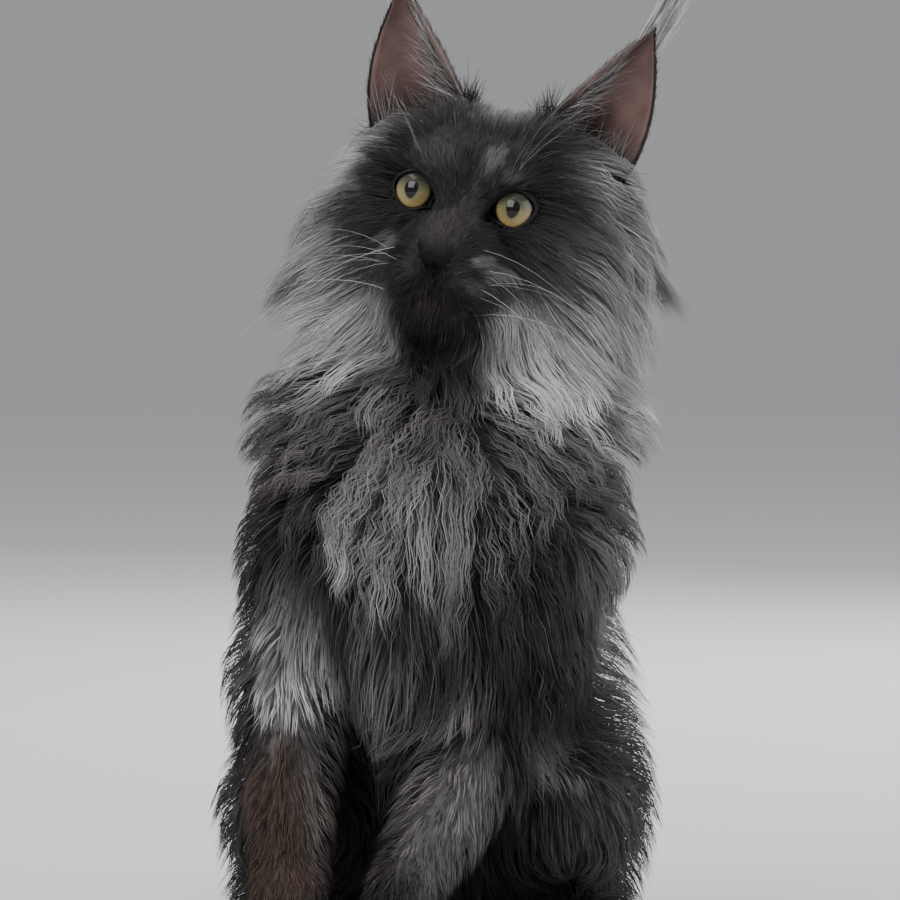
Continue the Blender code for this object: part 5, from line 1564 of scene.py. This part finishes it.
def skin_colours(mesh):
    """Markings on the skin, darker than the coat over it as painted shade in the gaps between the tufts, and the bare
    nose and ears, whose insides darken with painted shade towards their base.
    """
    count = len(mesh.vertices)
    points = np.empty(count * 3, np.float32)
    mesh.vertices.foreach_get("co", points)
    points = points.reshape(-1, 3).astype(float)
    normals = np.empty(count * 3, np.float32)
    mesh.vertices.foreach_get("normal", normals)
    normals = normals.reshape(-1, 3)
    # Painted shade: the skin takes the markings' colours, darkened so that the gaps between the tufts look dark.
    tone = markings(points) * SKIN_PAINTED_SHADE
    local = head_local(points)
    facing = normals @ np.array(HEAD.to_3x3()) @ np.array([0, -1, 0])
    inside = np.clip((facing - 0.1) / 0.4, 0, 1)[:, None]
    height = ear_height(points)[:, None]
    mottle = 1 + 0.16 * np.sin(points[:, :1] / 2.3 + np.sin(points[:, 2:] / 3.1)) * np.sin(points[:, 2:] / 2.7)
    # Painted shade: the pink fades to a dark painted shade towards the base of the ear's hollow, and darkens near the
    # tip.
    pink = np.array(EAR_PAINTED_SHADE) + (np.array(EAR_PINK) - EAR_PAINTED_SHADE) * np.clip(height * 3.2 - 0.25, 0, 1)
    pink = pink * (1 - 0.55 * np.clip(height * 2.4 - 1.4, 0, 1)) * mottle
    ear_tone = np.array(CHARCOAL) * (1 - inside) + pink * inside
    tone = np.where(on_ears(points)[:, None], ear_tone, tone)
    flip = np.abs(local) * [1, 0, 0] + local * [0, 1, 1]
    lip = gate(LIP_BARE - to_line(flip, LIP_LINE), 0.4)[:, None]
    tone = tone * (1 - lip) + np.array(BLACK) * 0.3 * lip
    leather = on_nose(local)[:, None]
    tone = tone * (1 - leather) + np.array(BLACK) * 0.3 * leather
    set_colours(mesh, tone)


def area_light(name, place, size, power, colour):
    made = bpy.data.lights.new(name, "AREA")
    made.size = size
    made.energy = power
    made.color = colour
    light = bpy.data.objects.new(name, made)
    bpy.context.scene.collection.objects.link(light)
    light.location = place
    aim = Vector((0, -0.04, 0.25)) - Vector(place)
    light.rotation_mode = "QUATERNION"
    light.rotation_quaternion = aim.to_track_quat("-Z", "Y")
    return light


WORLD_TONE = (0.335, 0.338, 0.345)
FLOOR_NEAR = (0.66, 0.66, 0.67)
FLOOR_FAR = (0.99, 0.99, 0.99)
FLOOR_SIZE = 60.0


def floor_material():
    """Pale floor that grows paler far away, where less light falls on it, so that it meets the background."""
    made = bpy.data.materials.new("floor")
    made.use_nodes = True
    tree = made.node_tree
    shader = tree.nodes["Principled BSDF"]
    shader.inputs["Roughness"].default_value = 0.9
    shader.inputs["Specular IOR Level"].default_value = 0.1
    place = tree.nodes.new("ShaderNodeTexCoord")
    away = tree.nodes.new("ShaderNodeVectorMath")
    away.operation = "LENGTH"
    reach = node(tree, "ShaderNodeMapRange")
    reach.inputs["From Min"].default_value = 0.4
    reach.inputs["From Max"].default_value = 3.0
    tone = tree.nodes.new("ShaderNodeValToRGB")
    tone.color_ramp.elements[0].color = (*FLOOR_NEAR, 1)
    tone.color_ramp.elements[1].color = (*FLOOR_FAR, 1)
    tree.links.new(place.outputs["Object"], away.inputs[0])
    tree.links.new(away.outputs["Value"], reach.inputs["Value"])
    tree.links.new(reach.outputs["Result"], tone.inputs["Fac"])
    tree.links.new(tone.outputs["Color"], shader.inputs["Base Color"])
    return made


def set_stage():
    """Pale floor, soft light, and the camera of the photo."""
    bpy.ops.mesh.primitive_plane_add(size=FLOOR_SIZE)
    floor = bpy.context.object
    floor.name = "floor"
    floor.data.materials.append(floor_material())
    world = bpy.data.worlds.new("studio")
    world.use_nodes = True
    world.node_tree.nodes["Background"].inputs[0].default_value = (*WORLD_TONE, 1)
    bpy.context.scene.world = world
    area_light("key", (-1.2, -1.9, 1.9), 1.7, 66, (1.0, 0.98, 0.96))
    area_light("fill", (2.2, -0.9, 1.1), 2.0, 38, (0.96, 0.98, 1.0))
    area_light("rim", (0.7, 1.5, 1.5), 1.3, 36, (0.97, 0.98, 1.0))
    area_light("top", (-0.2, -0.1, 2.6), 1.8, 26, (1.0, 1.0, 1.0))
    lens = bpy.data.cameras.new("camera")
    lens.sensor_width = 36
    lens.lens = 18 / (0.189 / 1.8)
    camera = bpy.data.objects.new("camera", lens)
    bpy.context.scene.collection.objects.link(camera)
    target = Vector(placed([(0, -62, 235)])[0])
    back = Vector((0, -math.cos(math.radians(2)), math.sin(math.radians(2))))
    camera.location = target + back * 1.8
    camera.rotation_mode = "QUATERNION"
    camera.rotation_quaternion = (-back).to_track_quat("-Z", "Y")
    bpy.context.scene.camera = camera


FLESH_NODES = [name for name in frame["nodes"] if not name.startswith("eye")]


def main():
    fur = fur_material("fur", 0.72, 0.22, 0, 0)
    hide = fur_material("hide", 0.52, 0.12, 0.6, 900.0)
    body = cut_sockets(build_skin())
    unwrap(body)
    skin_colours(body.data)
    body.name = "skin"
    body.data.materials.clear()
    body.data.materials.append(hide)
    body.data.polygons.foreach_set("use_smooth", np.ones(len(body.data.polygons), bool))
    coat = coat_pieces(body.data, fur)
    coat += loose_pieces(body.data, fur)
    body.data.transform(Matrix.Scale(MM, 4) @ Matrix.Translation(SHIFT))
    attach(body, "root")
    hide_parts(*FLESH_NODES)
    for piece in coat:
        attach(piece, "root")
    eyes, rims = eye_material(), rim_material()
    for side, word in ((1, "left"), (-1, "right")):
        ball_ = build_eye(side, word)
        ball_.data.materials.append(eyes)
        lid_rim(side, word, rims)
    set_stage()


main()
